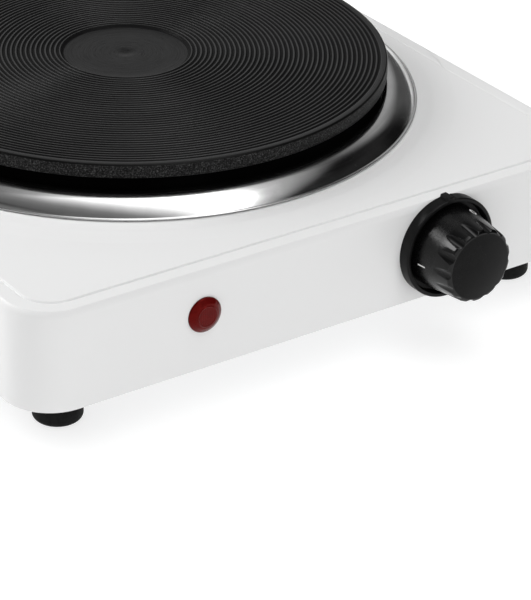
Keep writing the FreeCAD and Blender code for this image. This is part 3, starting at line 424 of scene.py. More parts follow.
def lens_material():
    """Red plastic with faint flow patches and a red tinted shine."""
    made, tree, shader = start_material("red_lens", IOR=1.49, Transmission_Weight=0.1,
                                        Specular_IOR_Level=0.32, Specular_Tint=(1.0, 0.1, 0.08, 1.0))
    where = place_of(tree)
    colour = ramp(tree, noise(tree, where, 260.0, 3.0), (0.074, 0.0028, 0.0026), (0.1, 0.0042, 0.004))
    roughness = ramp(tree, noise(tree, where, 700.0, 3.0), 0.03, 0.07)
    normal = bump(tree, noise(tree, where, 1400.0, 2.0), 0.003 * MM)
    finish_shader(tree, shader, colour, roughness, normal)
    return made


def knob_material():
    """Gloss black phenolic, with a fine rough texture on the skirt behind the flutes."""
    made, tree, shader = start_material("knob_black", Specular_IOR_Level=0.28)
    where = place_of(tree)
    split = tree.nodes.new("ShaderNodeSeparateXYZ")
    tree.links.new(where, split.inputs[0])
    behind = math_node(tree, "SUBTRACT", split.outputs["Y"], (KNOB_FACE + 4.0) * MM)
    skirt = ramp(tree, math_node(tree, "MULTIPLY", behind, 0.1 / MM), 0.0, 1.0, 0.2, 0.55)
    colour = ramp(tree, noise(tree, where, 120.0), (0.0015, 0.0015, 0.0016), (0.003, 0.003, 0.0031))
    speck = noise(tree, where, 3600.0, 2.0, 0.7)
    gloss = ramp(tree, noise(tree, where, 360.0), 0.03, 0.07)
    roughness = mix(tree, skirt, gloss, ramp(tree, speck, 0.12, 0.42))
    smooth = bump(tree, noise(tree, where, 720.0, 6.0), 0.003 * MM)
    rough = bump(tree, speck, 0.03 * MM)
    finish_shader(tree, shader, colour, roughness, mix(tree, skirt, smooth, rough))
    return made


MATERIALS = {
    "white_enamel": enamel_material(),
    "cast_iron": iron_material(),
    "polished_trim": trim_material(),
    "red_lens": lens_material(),
    "knob_black": knob_material(),
    "knob_face": plain_material("knob_face", (0.0025, 0.0025, 0.0026), (0.0045, 0.0045, 0.0046),
                                (0.1, 0.16), 300.0, 0.003, Specular_IOR_Level=0.1),
    "numeral_white": plain_material("numeral_white", (0.78, 0.78, 0.77), (0.88, 0.88, 0.87), (0.35, 0.5),
                                    900.0, 0.01),
    "bezel_black": plain_material("bezel_black", (0.003, 0.003, 0.0031), (0.006, 0.006, 0.0062),
                                  (0.3, 0.42), 160.0, 0.008, Specular_IOR_Level=0.12),
    "black_rubber": plain_material("black_rubber", (0.003, 0.003, 0.003), (0.006, 0.006, 0.006),
                                   (0.55, 0.75), 420.0, 0.03, Specular_IOR_Level=0.13),
    "base_sheet": plain_material("base_sheet", (0.4, 0.41, 0.42), (0.52, 0.53, 0.54), (0.35, 0.5),
                                 70.0, 0.01, Metallic=0.9),
    "plain_steel": plain_material("plain_steel", (0.42, 0.43, 0.44), (0.56, 0.57, 0.58), (0.28, 0.42),
                                  200.0, 0.01, Metallic=1.0),
    "bright_sheet": plain_material("bright_sheet", (0.66, 0.67, 0.68), (0.78, 0.79, 0.8), (0.2, 0.32),
                                   90.0, 0.008, Metallic=1.0),
    "coil_wire": plain_material("coil_wire", (0.2, 0.19, 0.18), (0.36, 0.34, 0.31), (0.4, 0.55),
                                900.0, 0.08, Metallic=0.8),
    "magnesia": plain_material("magnesia", (0.72, 0.7, 0.64), (0.84, 0.82, 0.76), (0.8, 0.95),
                               500.0, 0.06),
    "ceramic": plain_material("ceramic", (0.78, 0.75, 0.68), (0.88, 0.85, 0.78), (0.45, 0.6),
                              260.0, 0.02),
    "brass": plain_material("brass", (0.6, 0.44, 0.19), (0.74, 0.58, 0.3), (0.25, 0.4),
                            300.0, 0.01, Metallic=1.0),
    "bimetal": plain_material("bimetal", (0.48, 0.46, 0.41), (0.62, 0.6, 0.53), (0.3, 0.42),
                              240.0, 0.01, Metallic=1.0),
    "clear_glass": plain_material("clear_glass", (0.86, 0.85, 0.82), (0.95, 0.94, 0.92), (0.02, 0.06),
                                  300.0, 0.002, Transmission_Weight=1.0),
    "pale_plastic": plain_material("pale_plastic", (0.7, 0.69, 0.64), (0.8, 0.79, 0.74), (0.4, 0.55),
                                   220.0, 0.01),
    "resistor_body": plain_material("resistor_body", (0.46, 0.33, 0.2), (0.6, 0.46, 0.31), (0.35, 0.5),
                                    500.0, 0.01),
    "sleeve_brown": plain_material("sleeve_brown", (0.2, 0.1, 0.05), (0.34, 0.19, 0.11), (0.7, 0.85),
                                   900.0, 0.08),
    "sleeve_blue": plain_material("sleeve_blue", (0.06, 0.13, 0.32), (0.14, 0.25, 0.48), (0.7, 0.85),
                                  900.0, 0.08),
    "sleeve_green": plain_material("sleeve_green", (0.12, 0.34, 0.05), (0.62, 0.66, 0.06), (0.7, 0.85),
                                   130.0, 0.08),
}


def finish_cad_nodes():
    """Give every CAD node the material of its own slot."""
    for subpart in frame["record"]["subparts"]:
        node = frame["nodes"][subpart["node"]]
        node.data.materials.clear()
        node.data.materials.append(MATERIALS[subpart["material_slot"]])


# ---- white body -------------------------------------------------------------------
def inset_from(x, y, half_x, y0, y1, corner):
    """How far points lie inside a rounded rectangle's outline."""
    qx = np.abs(x) - (half_x - corner)
    qy = np.abs(y - (y0 + y1) / 2) - ((y1 - y0) / 2 - corner)
    outside = np.hypot(np.maximum(qx, 0.0), np.maximum(qy, 0.0))
    return corner - outside - np.minimum(np.maximum(qx, qy), 0.0)


def body_inset(x, y):
    return inset_from(x, y, HALF_WIDTH, Y_FRONT, Y_BACK, BODY_CORNER)


def field_inset(x, y):
    return inset_from(x, y, HALF_WIDTH - FIELD_SIDE_INSET, Y_FRONT + FIELD_FRONT_INSET,
                      Y_BACK - FIELD_SIDE_INSET, FIELD_CORNER)


def rounded_edge(inset, top, radius):
    """Height of a flat top with a rounded edge."""
    reach = np.clip(radius - inset, 0.0, radius)
    return top - radius + np.sqrt(radius * radius - reach * reach)


def top_height(x, y):
    """Height of the body's top: border, pressed field and the land round the plate."""
    edge = body_inset(x, y)
    border = rounded_edge(edge, BORDER_TOP, TOP_FILLET)
    inside = field_inset(x, y)
    step = smooth_step(inside / FIELD_STEP)
    crease = CREASE_DEPTH * np.exp(-(inside / CREASE_WIDTH) ** 2)
    field = BORDER_TOP + (FIELD_TOP - BORDER_TOP) * step
    radius = np.hypot(x - PLATE.x, y - PLATE.y)
    slope = np.clip((radius - LAND_RADIUS) / (LAND_FOOT - LAND_RADIUS), 0.0, 1.0)
    land = LAND_TOP - (LAND_TOP - FIELD_TOP) * slope - smooth_step(radius - LAND_FOOT)
    raised = smooth_max(field, land, 0.06)
    limit = rounded_edge(edge, LAND_TOP, TOP_FILLET + 1.0)
    return smooth_max(border, smooth_min(raised, limit, 0.08), 0.04) - crease


def bearings():
    """Directions from the plate's centre, closer together at the body's corners."""
    corner_steps, side_steps = 26, 74
    half_y = (Y_BACK - Y_FRONT) / 2
    centre_y = (Y_FRONT + Y_BACK) / 2
    corners = []
    for quarter, (sx, sy) in enumerate(((1, 1), (-1, 1), (-1, -1), (1, -1))):
        centre = (sx * (HALF_WIDTH - BODY_CORNER), centre_y + sy * (half_y - BODY_CORNER))
        corners.append(arc(centre, BODY_CORNER, quarter * 90, quarter * 90 + 90, corner_steps))
    points = []
    for this, following in zip(corners, corners[1:] + corners[:1]):
        points += this
        share = np.linspace(0.0, 1.0, side_steps + 1)[1:-1]
        points += [(this[-1][0] + s * (following[0][0] - this[-1][0]),
                    this[-1][1] + s * (following[0][1] - this[-1][1])) for s in share]
    outline = np.array(points)
    return np.arctan2(outline[:, 1] - PLATE.y, outline[:, 0] - PLATE.x)


def reach_along(angles, inset_function, inset):
    """Distance from the plate's centre at which each ray is at an inset from an outline."""
    farthest, halvings = 400.0, 48
    near, far = np.zeros(len(angles)), np.full(len(angles), farthest)
    for _ in range(halvings):
        half = (near + far) / 2
        deep = inset_function(PLATE.x + half * np.cos(angles), PLATE.y + half * np.sin(angles)) > inset
        near, far = np.where(deep, half, near), np.where(deep, far, half)
    return near


def top_stations(angles, count):
    """Distances along each ray, crowded where the top bends."""
    end = reach_along(angles, body_inset, TOP_FILLET + 1.0)
    crease = reach_along(angles, field_inset, FIELD_STEP / 2)
    fine = np.linspace(0.0, 1.0, 900)
    stations = []
    for last, fold in zip(end, crease):
        along = OPENING_RADIUS + (last - OPENING_RADIUS) * fine
        weight = 0.12 + 1.2 * np.exp(-((along - LAND_RADIUS) / 0.9) ** 2)
        weight += 1.0 * np.exp(-((along - LAND_FOOT) / 1.0) ** 2)
        weight += 3.2 * np.exp(-((along - fold) / 0.55) ** 2)
        total = np.concatenate([[0.0], np.cumsum((weight[1:] + weight[:-1]) / 2)])
        stations.append(np.interp(np.linspace(0.0, total[-1], count), total, along))
    return np.array(stations).T


def housing():
    """The pressed steel body: one closed sheet with a rolled lower edge and its wall holes."""
    angles = bearings()
    cos, sin = np.cos(angles), np.sin(angles)

    def row(distance, height):
        """One row of points, at a distance along each ray."""
        return np.column_stack([PLATE.x + distance * cos, PLATE.y + distance * sin, height])

    def on_top(distance, drop=0.0):
        x, y = PLATE.x + distance * cos, PLATE.y + distance * sin
        return row(distance, top_height(x, y) - drop)

    def at_inset(inset):
        return reach_along(angles, body_inset, inset)

    full = np.ones(len(angles))
    stations = top_stations(angles, 70)
    rows = [on_top(distance) for distance in stations]
    fillet = TOP_FILLET + 1.0
    for turn in np.radians(np.linspace(12, 90, 11)):
        rows.append(on_top(at_inset(fillet * (1 - math.sin(turn)))))
    shoulder = rows[-1][:, 2]
    outline = at_inset(0.0)
    half_sheet = WALL / 2
    for share in np.linspace(0.0, 1.0, 9)[1:]:
        rows.append(row(outline, shoulder + share * (BODY_BOTTOM + half_sheet - shoulder)))
    for turn in np.radians(np.linspace(0, 180, 9)[1:]):
        inset = half_sheet - half_sheet * math.cos(turn)
        rows.append(row(at_inset(inset), full * (BODY_BOTTOM + half_sheet - half_sheet * math.sin(turn))))
    inner_fillet = TOP_FILLET - WALL
    start = BORDER_TOP - WALL - inner_fillet
    for height in np.linspace(BODY_BOTTOM + half_sheet, start, 5)[1:]:
        rows.append(row(at_inset(WALL), full * height))
    for turn in np.radians(np.linspace(0, 75, 5)[1:]):
        inset = WALL + inner_fillet * (1 - math.cos(turn))
        rows.append(row(at_inset(inset), full * (start + inner_fillet * math.sin(turn))))
    for distance in stations[::-6]:
        rows.append(on_top(distance, WALL))
    rows.append(on_top(full * OPENING_RADIUS, WALL))
    points = np.vstack(rows)
    mesh = new_mesh("housing", points, grid_faces(len(rows), len(angles), True), 35)
    lamp_hole, spindle_hole, cord_hole = 5.5, 5.0, 7.0
    holes = [rod_cutter(LENS.x, LENS.z, lamp_hole, Y_FRONT),
             rod_cutter(KNOB.x, KNOB.z, spindle_hole, Y_FRONT),
             rod_cutter(GLAND.x, GLAND.z, cord_hole, Y_BACK)]
    mesh = cut(mesh, holes, 35)
    return place("housing", mesh, MATERIALS["white_enamel"], "body", ["housing_shell"])


def rod_cutter(x, z, radius, wall_y):
    """A short cylinder along Y through a wall."""
    near, far = wall_y - 3.0, wall_y + 3.0
    profile = [(0.0, near), (radius, near), (radius, far), (0.0, far)]
    turned, faces = lathe(profile, 64, closed=False)
    return lying(turned, (x, 0.0, z)), faces


# ---- cast iron plate ----------------------------------------------------------------
def plate_profile():
    """The casting's section: dimpled recess, rounded grooves, rim, neck, skirt and underside."""
    top = PLATE_TOP
    floor = top - RECESS_DEPTH
    rim_bottom = top - RIM_HEIGHT
    profile = [(0.0, floor - DIMPLE_DEPTH)]
    for share in (0.2, 0.4, 0.6, 0.8, 1.0):
        rise = DIMPLE_DEPTH * (0.5 + 0.5 * math.cos(math.pi * share))
        profile.append((DIMPLE_RADIUS * share, floor - rise))
    profile += [(9.0, floor), (16.0, floor)]
    profile += arc((RECESS_RADIUS - 1.1, floor + 0.6), 0.6, -90, -20, 4)
    profile += arc((RECESS_RADIUS + 0.25, top - 0.3), 0.3, 160, 90, 3)
    width = GROOVE_PITCH - GROOVE_LAND
    for index in range(GROOVE_COUNT):
        start = GROOVE_START + index * GROOVE_PITCH
        profile += [(start - 0.05, top), (start + 0.04, top - 0.05),
                    (start + 0.32, top - GROOVE_DEPTH + 0.05), (start + 0.46, top - GROOVE_DEPTH),
                    (start + width - 0.46, top - GROOVE_DEPTH),
                    (start + width - 0.32, top - GROOVE_DEPTH + 0.05),
                    (start + width - 0.04, top - 0.05), (start + width + 0.05, top)]
    profile += arc((PLATE_RADIUS - RIM_ROUND, top - RIM_ROUND), RIM_ROUND, 90, 0, 5)
    profile += arc((PLATE_RADIUS - 0.4, rim_bottom + 0.4), 0.4, 0, -90, 3)
    profile += [(NECK_RADIUS, rim_bottom), (NECK_RADIUS, SHOULDER_Z), (SKIRT_RADIUS, SHOULDER_Z)]
    profile += arc((SKIRT_RADIUS - 0.5, SKIRT_BOTTOM + 0.5), 0.5, 0, -90, 3)
    profile += [(SKIRT_INNER, SKIRT_BOTTOM), (SKIRT_INNER, RIB_BOTTOM)]
    outer_well = COIL_RADIUS + COIL_STEP * (COIL_HALF_TURNS - 0.5) + 4.1
    inner_well = COIL_RADIUS - COIL_STEP / 2 - 4.1
    profile += [(outer_well, RIB_BOTTOM), (outer_well, WEB_BOTTOM), (inner_well, WEB_BOTTOM),
                (inner_well, RIB_BOTTOM), (3.05, RIB_BOTTOM), (3.05, WEB_BOTTOM - 0.3),
                (0.0, WEB_BOTTOM - 0.3)]
    return profile


def spiral_rib():
    """The rib between the turns of the heater's channel, a two-centre spiral of half circles."""
    bearing = math.radians(COIL_BEARING)
    steps = 40
    centre_line = []
    for index in range(COIL_HALF_TURNS - 2):
        side = 1 if index % 2 == 0 else -1
        radius = COIL_RADIUS + (index + 1) * COIL_STEP
        for turn in np.linspace(0.0, math.pi, steps, endpoint=False):
            x = -side * COIL_STEP / 2 + side * radius * math.cos(turn)
            y = side * radius * math.sin(turn)
            centre_line.append((x, y, side * math.cos(turn), side * math.sin(turn)))
    points, faces = [], []
    half_width = 1.5
    for x, y, out_x, out_y in centre_line:
        for offset, height in ((-half_width, RIB_BOTTOM), (half_width, RIB_BOTTOM),
                               (half_width, WEB_BOTTOM + 0.2), (-half_width, WEB_BOTTOM + 0.2)):
            px, py = x + out_x * offset, y + out_y * offset
            points.append((PLATE.x + px * math.cos(bearing) - py * math.sin(bearing),
                           PLATE.y + px * math.sin(bearing) + py * math.cos(bearing), height))
    sections = len(centre_line)
    for section in range(sections - 1):
        low, high = section * 4, section * 4 + 4
        for side in range(4):
            after = (side + 1) % 4
            faces.append((low + side, low + after, high + after, high + side))
    faces += [(0, 1, 2, 3), tuple(4 * (sections - 1) + side for side in (3, 2, 1, 0))]
    return points, faces


def hot_plate():
    turned, faces = lathe(plate_profile(), 256, closed=False)
    points, faces = merged([(upright(turned, PLATE), faces), spiral_rib()])
    mesh = new_mesh("hot_plate", points, faces, 40)
    return place("hot_plate", mesh, MATERIALS["cast_iron"], "body", ["hotplate_casting"])


# ---- trim ring ------------------------------------------------------------------------
def polished_ring():
    """The ring's section: gutter, small lip, round flank and a fine bead just above the land."""
    run, drop = RING_RADIUS - RING_CREST_R, RING_CREST - RING_FOOT
    outer = (run ** 2 + drop ** 2) / (2 * drop)
    inner = outer - RING_SHEET
    centre = (RING_CREST_R, RING_CREST - outer)
    outer_end = math.degrees(math.asin((outer - drop) / outer))
    inner_end = math.degrees(math.asin((outer - drop) / inner))
    lip_centre = (RING_CREST_R, RING_CREST - RING_LIP)
    bead, gap = 0.22, 0.4
    profile = [(RING_INNER_R, SHOULDER_Z), (RING_CREST_R - RING_LIP - 0.4, SHOULDER_Z)]
    profile += arc((RING_CREST_R - RING_LIP - 0.25, SHOULDER_Z + 0.25), 0.25, -90, 0, 3)[1:]
    profile += arc(lip_centre, RING_LIP, 170, 90, 8)
    profile += arc(centre, outer, 90, outer_end + 5.0, 30)[1:]
    profile += arc((RING_RADIUS + 0.1, RING_FOOT + gap + bead), bead, 110, -90, 8)
    profile += [(RING_RADIUS - 0.45, RING_FOOT + gap), (RING_RADIUS - 0.5, RING_FOOT)]
    profile += arc(centre, inner, inner_end, 90, 12)
    profile += arc(lip_centre, RING_LIP - RING_SHEET, 90, 180, 4)[1:]
    profile += [(RING_CREST_R - RING_LIP + RING_SHEET, SHOULDER_Z - RING_SHEET),
                (RING_INNER_R, SHOULDER_Z - RING_SHEET)]
    turned, faces = lathe(profile, 320)
    mesh = new_mesh("polished_ring", upright(turned, PLATE), faces, 40)
    return place("polished_ring", mesh, MATERIALS["polished_trim"], "body", ["trim_ring"])


# ---- knob, numerals and bezel ---------------------------------------------------------
def flank_radius(y):
    """The knob's plain radius at a distance behind its face."""
    nose = KNOB_FACE + KNOB_DOME + NOSE_LENGTH
    share = (y - nose) / (BEZEL_FRONT + 0.5 - nose)
    return KNOB_NOSE_R + (KNOB_SKIRT - 0.1 - KNOB_NOSE_R) * share


def fluted(radius, angle, y):
    """A radius cut back by the knob's flutes, which run out on the flank."""
    apex_y, apex_r = KNOB_FACE + 9.5, 13.95 + FLUTE_RADIUS
    nose_r = KNOB_NOSE_R - 1.4 + FLUTE_RADIUS
    centre = nose_r + (apex_r - nose_r) * (y - KNOB_FACE) / (apex_y - KNOB_FACE)
    pitch = 2 * math.pi / KNOB_FLUTES
    off = (angle + pitch / 2) % pitch - pitch / 2
    reach = FLUTE_RADIUS ** 2 - (centre * np.sin(off)) ** 2
    bottom = centre * np.cos(off) - np.sqrt(np.maximum(reach, 0.0))
    floor = np.where(reach > 0.0, bottom, radius + 1.0)
    return np.minimum(radius, smooth_min(radius, floor, 0.04))


def knob_piece():
    """The gloss knob: domed satin face, rounded nose, fluted flank, hollow back and hub."""
    columns, flank_rows = KNOB_FLUTES * 30, 46
    edge_y = KNOB_FACE + KNOB_DOME
    nose_y = edge_y + NOSE_LENGTH
    face = [(KNOB_FACE_R * share, KNOB_FACE + KNOB_DOME * share ** 2)
            for share in (0.0, 0.25, 0.5, 0.7, 0.85, 0.95)]
    nose = []
    for turn in np.radians(np.linspace(4, 90, 9)):
        nose.append((KNOB_FACE_R + (KNOB_NOSE_R - KNOB_FACE_R) * math.sin(turn),
                     nose_y - NOSE_LENGTH * math.cos(turn)))
    flank = [(float(flank_radius(y)), y) for y in np.linspace(nose_y, KNOB_REAR - 0.3, flank_rows)]
    outside_rows = len(face) + len(nose) + flank_rows - 1
    web_y, hub_radius, bore = KNOB_FACE + 3.0, 5.2, 3.05
    hub_end, bore_end = BEZEL_FRONT - 0.3, KNOB_FACE + 5.2
    profile = face + nose + flank[1:]
    profile += [(KNOB_SKIRT - 0.3, KNOB_REAR), (KNOB_SKIRT - 1.6, KNOB_REAR),
                (KNOB_NOSE_R - 2.2, web_y), (hub_radius, web_y), (hub_radius, hub_end),
                (bore, hub_end), (bore, bore_end), (0.0, bore_end)]
    turned, faces = lathe(profile, columns, closed=False)
    outside = np.arange(len(turned)) < outside_rows * columns
    outside &= (turned[:, 0] > KNOB_FACE_R - 0.8) & (turned[:, 2] < KNOB_FACE + 12.0)
    turned[outside, 0] = fluted(turned[outside, 0], turned[outside, 1], turned[outside, 2])
    mesh = new_mesh("control_knob", lying(turned, KNOB), faces, 50)
    piece = place("control_knob", mesh, MATERIALS["knob_black"], "knob_turning", ["knob"])
    mesh.materials.append(MATERIALS["knob_face"])
    for polygon in mesh.polygons:
        if polygon.center.y < (edge_y + 0.02) * MM:
            polygon.material_index = 1
    return piece


def numerals():
    """White dial numerals laid round the knob's skirt, with their tops towards the panel."""
    parts = []
    for text, bearing in NUMERALS.items():
        curve = bpy.data.curves.new("numeral", "FONT")
        curve.body = text
        curve.align_x, curve.align_y = "CENTER", "CENTER"
        curve.size = NUMERAL_HEIGHT / 0.7
        curve.offset = 0.02
        curve.extrude = 0.06
        holder = bpy.data.objects.new("numeral", curve)
        bpy.context.scene.collection.objects.link(holder)
        evaluated = holder.evaluated_get(bpy.context.evaluated_depsgraph_get())
        mesh = bpy.data.meshes.new_from_object(evaluated)
        flat = np.array([vertex.co for vertex in mesh.vertices])
        faces = [tuple(polygon.vertices) for polygon in mesh.polygons]
        y = KNOB_FACE + NUMERAL_Y + flat[:, 1]
        radius = flank_radius(y)
        angle = math.radians(bearing) - flat[:, 0] / radius
        parts.append((lying(np.column_stack([radius + flat[:, 2], angle, y]), KNOB), faces))
        bpy.data.objects.remove(holder)
        bpy.data.meshes.remove(mesh)
        bpy.data.curves.remove(curve)
    points, faces = merged(parts)
    mesh = new_mesh("dial_numerals", points, faces, 30)
    piece = bpy.data.objects.new("dial_numerals", mesh)
    bpy.context.scene.collection.objects.link(piece)
    mesh.materials.append(MATERIALS["numeral_white"])
    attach(piece, "knob_turning")
    return piece


def bezel_piece():
    """The satin collar with its pointer rib on top and a notch beside the rib."""
    inner = BEZEL_RADIUS - 1.4
    floor_y = Y_FRONT - 0.8
    profile = [(5.0, Y_FRONT), (5.0, floor_y), (inner - 0.8, floor_y)]
    profile += arc((inner - 0.5, floor_y - 0.5), 0.5, 90, 0, 3)[1:]
    profile += arc((inner + 0.25, BEZEL_FRONT + 0.25), 0.25, 180, 270, 3)
    profile += arc((BEZEL_RADIUS - 0.45, BEZEL_FRONT + 0.45), 0.45, -90, 0, 5)
    profile += [(BEZEL_RADIUS, BEZEL_FRONT + 2.0), (BEZEL_RADIUS, Y_FRONT - 0.6), (BEZEL_RADIUS, Y_FRONT)]
    turned, faces = lathe(profile, 720)
    off = (turned[:, 1] - math.radians(90 + POINTER_LEAN)) * BEZEL_RADIUS
    rib = smooth_step((1.35 - np.abs(off)) / 0.35)
    notch = smooth_step((0.75 - np.abs(off + 2.1)) / 0.75)
    outer = smooth_step((turned[:, 0] - BEZEL_RADIUS + 0.9) / 0.5)
    turned[:, 0] += outer * (rib - 0.5 * notch)
    mesh = new_mesh("control_bezel", lying(turned, KNOB), faces, 40)
    return place("control_bezel", mesh, MATERIALS["bezel_black"], "body", ["knob_bezel"])


# ---- pilot lamp -------------------------------------------------------------------------
def lens_piece():
    """The red lens: a finely checked disc in a bead, a sloping shoulder, bevel, flange and barrel."""
    front, disc, sunk, rows = lens_low.y, 3.2, 0.14, 32
    barrel, hollow, back, inner_y = 5.3, 4.3, lens_high.y, Y_FRONT - 0.2
    profile = [(disc * k / rows, front + sunk) for k in range(rows + 1)]
    profile += [(disc + 0.12, front + 0.04), (disc + 0.28, front), (disc + 0.44, front + 0.06),
                (disc + 0.6, front + 0.26), (4.3, front + 0.36), (4.7, front + 0.52), (5.1, front + 0.8)]
    profile += [(LENS_RADIUS - 0.35, front + 1.2), (LENS_RADIUS - 0.1, front + 1.4),
                (LENS_RADIUS, front + 1.6), (LENS_RADIUS, Y_FRONT), (barrel, Y_FRONT), (barrel, back),
                (hollow, back), (hollow, inner_y), (0.0, inner_y)]
    turned, faces = lathe(profile, 160, closed=False)
    points = lying(turned, LENS)
    across, up = points[:, 0] - LENS.x, points[:, 2] - LENS.z
    inside = (np.hypot(across, up) < disc - 0.1) & (points[:, 1] < front + 2.0 * sunk)
    pitch, relief = 0.7, 0.07
    wave = np.cos(math.pi * (across + up) / pitch) * np.cos(math.pi * (across - up) / pitch)
    points[inside, 1] -= relief * (0.5 + 0.5 * wave[inside])
    mesh = new_mesh("pilot_lens", points, faces, 40)
    return place("pilot_lens", mesh, MATERIALS["red_lens"], "body", ["lamp_lens"])


# ---- feet and gland -----------------------------------------------------------------------
def foot_piece(node):
    """A moulded rubber foot: rounded tread, a fine moulding line and the screw's pocket."""
    low, high = node_box(node)
    centre = middle(low, high)
    radius, edge, top = high.x - centre.x, 2.2, high.z
    profile = [(2.1, top), (2.1, 7.0), (4.2, 7.0)]
    profile += arc((4.6, 0.4), 0.4, 180, 270, 3)
    profile += arc((radius - edge, edge), edge, -90, 0, 12)
    profile += [(radius - 0.08, 8.0), (radius - 0.28, 8.3), (radius - 0.1, 8.6), (radius - 0.3, top - 0.3),
                (radius - 0.6, top)]
    turned, faces = lathe(profile, 96)
    mesh = new_mesh(node + "_pad", upright(turned, centre), faces, 40)
    return place(node + "_pad", mesh, MATERIALS["black_rubber"], "body", [node])


def gland_piece():
    """The cord's bushing: collar, tapered nose and the bore."""
    bore, tip = 3.6, gland_high.y
    profile = [(bore, gland_low.y), (8.2, gland_low.y), (8.6, Y_BACK - WALL), (6.9, Y_BACK - WALL),
               (6.9, Y_BACK), (GLAND_RADIUS, Y_BACK)]
    profile += arc((GLAND_RADIUS - 0.6, Y_BACK + 1.2), 0.6, 0, 90, 4)
    profile += [(6.75, Y_BACK + 2.0), (6.6, Y_BACK + 2.4)]
    profile += arc((5.4, tip - 0.6), 0.6, 0, 90, 4)
    profile += arc((bore + 0.4, tip - 0.4), 0.4, 90, 180, 3)
    turned, faces = lathe(profile, 128)
    mesh = new_mesh("cord_bushing", lying(turned, GLAND), faces, 40)
    return place("cord_bushing", mesh, MATERIALS["black_rubber"], "body", ["cord_gland"])


# ---- studio -------------------------------------------------------------------------------
# The key light's strength from left to right and from front to back, by share of its size.
KEY_ACROSS = ((0.0, 0.02), (0.17, 0.04), (0.28, 0.07), (0.34, 0.14), (0.42, 0.3), (0.5, 0.6), (0.53, 1.0),
              (0.72, 1.0), (0.74, 0.3), (0.8, 0.2), (0.93, 0.06), (1.0, 0.0))
KEY_ALONG = ((0.0, 1.0), (0.83, 1.0), (0.87, 0.3), (1.0, 0.06))
# Dark parts of the room: direction, cosines where the dark starts and is full, and its strength.
DARK_PATCHES = (((0.852, -0.310, 0.423), 0.72, 0.84, 0.05), ((0.924, 0.373, 0.087), 0.87, 0.94, 0.22))


def camera():
    azimuth, elevation = math.radians(CAMERA_AZIMUTH), math.radians(CAMERA_ELEVATION)
    back = Vector((math.sin(azimuth) * math.cos(elevation), -math.cos(azimuth) * math.cos(elevation),
                   math.sin(elevation)))
    right = (-back).cross(Vector((0, 0, 1))).normalized()
    rows = Matrix((right, back.cross(right), back))
    turn = rows.transposed() @ Matrix.Rotation(math.radians(CAMERA_ROLL), 3, "Z")
    data = bpy.data.cameras.new("camera")
    data.lens, data.sensor_width = CAMERA_LENS, SENSOR_WIDTH
    data.clip_start, data.clip_end = 0.05, 20.0
    made = bpy.data.objects.new("camera", data)
    made.matrix_world = Matrix.Translation(CAMERA_AIM + back * CAMERA_DISTANCE) @ turn.to_4x4()
    bpy.context.scene.collection.objects.link(made)
    bpy.context.scene.camera = made


def panel(name, centre, facing, width, height, radiance):
    """A rectangular soft light. Its centre and facing direction are in metres."""
    data = bpy.data.lights.new(name, "AREA")
    data.shape = "RECTANGLE"
    data.size, data.size_y = width, height
    data.energy = radiance * math.pi * width * height
    made = bpy.data.objects.new(name, data)
    made.location = centre
    made.rotation_mode = "QUATERNION"
    made.rotation_quaternion = Vector(facing).to_track_quat("-Z", "Y")
    made.visible_camera = False
    bpy.context.scene.collection.objects.link(made)
    return data


def shade_panel(data, across, along):
    """Shade a soft light across its width and along its height, by (place, strength) stops from 0 to 1."""
    data.use_nodes = True
    tree = data.node_tree
    emission = tree.nodes["Emission"]
    spot = tree.nodes.new("ShaderNodeNewGeometry").outputs["Parametric"]
    split = tree.nodes.new("ShaderNodeSeparateXYZ")
    tree.links.new(spot, split.inputs[0])
    shades = []
    for axis, stops in (("X", across), ("Y", along)):
        shade = tree.nodes.new("ShaderNodeFloatCurve")
        curve = shade.mapping.curves[0]
        for point, stop in zip(curve.points, (stops[0], stops[-1])):
            point.location = stop
        for stop in stops[1:-1]:
            curve.points.new(*stop)
        for point in curve.points:
            point.handle_type = "VECTOR"
        shade.mapping.update()
        tree.links.new(split.outputs[axis], shade.inputs["Value"])
        shades.append(shade.outputs["Value"])
    tree.links.new(math_node(tree, "MULTIPLY", shades[0], shades[1]), emission.inputs["Strength"])


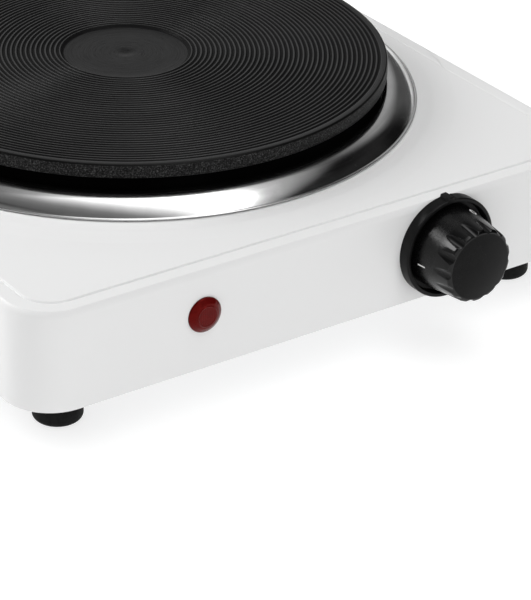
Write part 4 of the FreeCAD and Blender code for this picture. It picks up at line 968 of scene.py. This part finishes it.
def room():
    """A dim room: paler low down, and darkest towards the right."""
    world = bpy.data.worlds.new("room")
    world.use_nodes = True
    tree = world.node_tree
    direction = tree.nodes.new("ShaderNodeTexCoord").outputs["Generated"]
    split = tree.nodes.new("ShaderNodeSeparateXYZ")
    tree.links.new(direction, split.inputs[0])
    strength = ramp(tree, split.outputs["Z"], 0.45, 0.07, 0.5, 0.72)
    for centre, outer, inner, shade in DARK_PATCHES:
        toward = tree.nodes.new("ShaderNodeVectorMath")
        toward.operation = "DOT_PRODUCT"
        tree.links.new(direction, toward.inputs[0])
        toward.inputs[1].default_value = centre
        dark = ramp(tree, toward.outputs["Value"], 1.0, shade, outer, inner)
        strength = math_node(tree, "MULTIPLY", strength, dark)
    background = tree.nodes["Background"]
    background.inputs["Color"].default_value = (1.0, 1.0, 1.0, 1.0)
    tree.links.new(strength, background.inputs["Strength"])
    bpy.context.scene.world = world


def floor_sheet():
    """A plain pale floor."""
    reach, steps = 6.0, 24
    ring = [(reach * math.cos(a), reach * math.sin(a), 0.0)
            for a in np.linspace(0.0, 2 * math.pi, steps, endpoint=False)]
    mesh = bpy.data.meshes.new("floor")
    mesh.from_pydata(ring, [], [tuple(range(steps))])
    floor = bpy.data.objects.new("floor", mesh)
    bpy.context.scene.collection.objects.link(floor)
    made, tree, shader = start_material("floor_paper", Emission_Color=(1.0, 1.0, 1.0, 1.0),
                                        Emission_Strength=0.72)
    where = place_of(tree)
    paper = ramp(tree, noise(tree, where, 3.0), (0.4, 0.4, 0.4), (0.44, 0.44, 0.44))
    roughness = ramp(tree, noise(tree, where, 20.0), 0.8, 0.9)
    finish_shader(tree, shader, paper, roughness, bump(tree, noise(tree, where, 900.0), 0.01 * MM))
    mesh.materials.append(made)


def studio():
    """A pale floor, a wide soft light overhead, one at the back left and a front fill."""
    bpy.context.scene.view_settings.view_transform = "Standard"
    room()
    floor_sheet()
    key = panel("key_light", (0.0, -0.65, 1.5), (0.0, 0.0, -1.0), 2.7, 3.1, 3.2)
    shade_panel(key, KEY_ACROSS, KEY_ALONG)
    panel("back_left_light", (-0.50, 0.53, 0.53), (0.68, -0.73, -0.72), 0.42, 0.45, 8.5)
    panel("front_fill", (-0.9, -2.2, 0.75), (0.35, 1.0, -0.1), 2.4, 1.3, 0.75)


camera()
studio()
finish_cad_nodes()
housing()
hot_plate()
polished_ring()
knob_piece()
numerals()
bezel_piece()
lens_piece()
for foot_node in ("foot_front_left", "foot_front_right", "foot_rear_left", "foot_rear_right"):
    foot_piece(foot_node)
gland_piece()
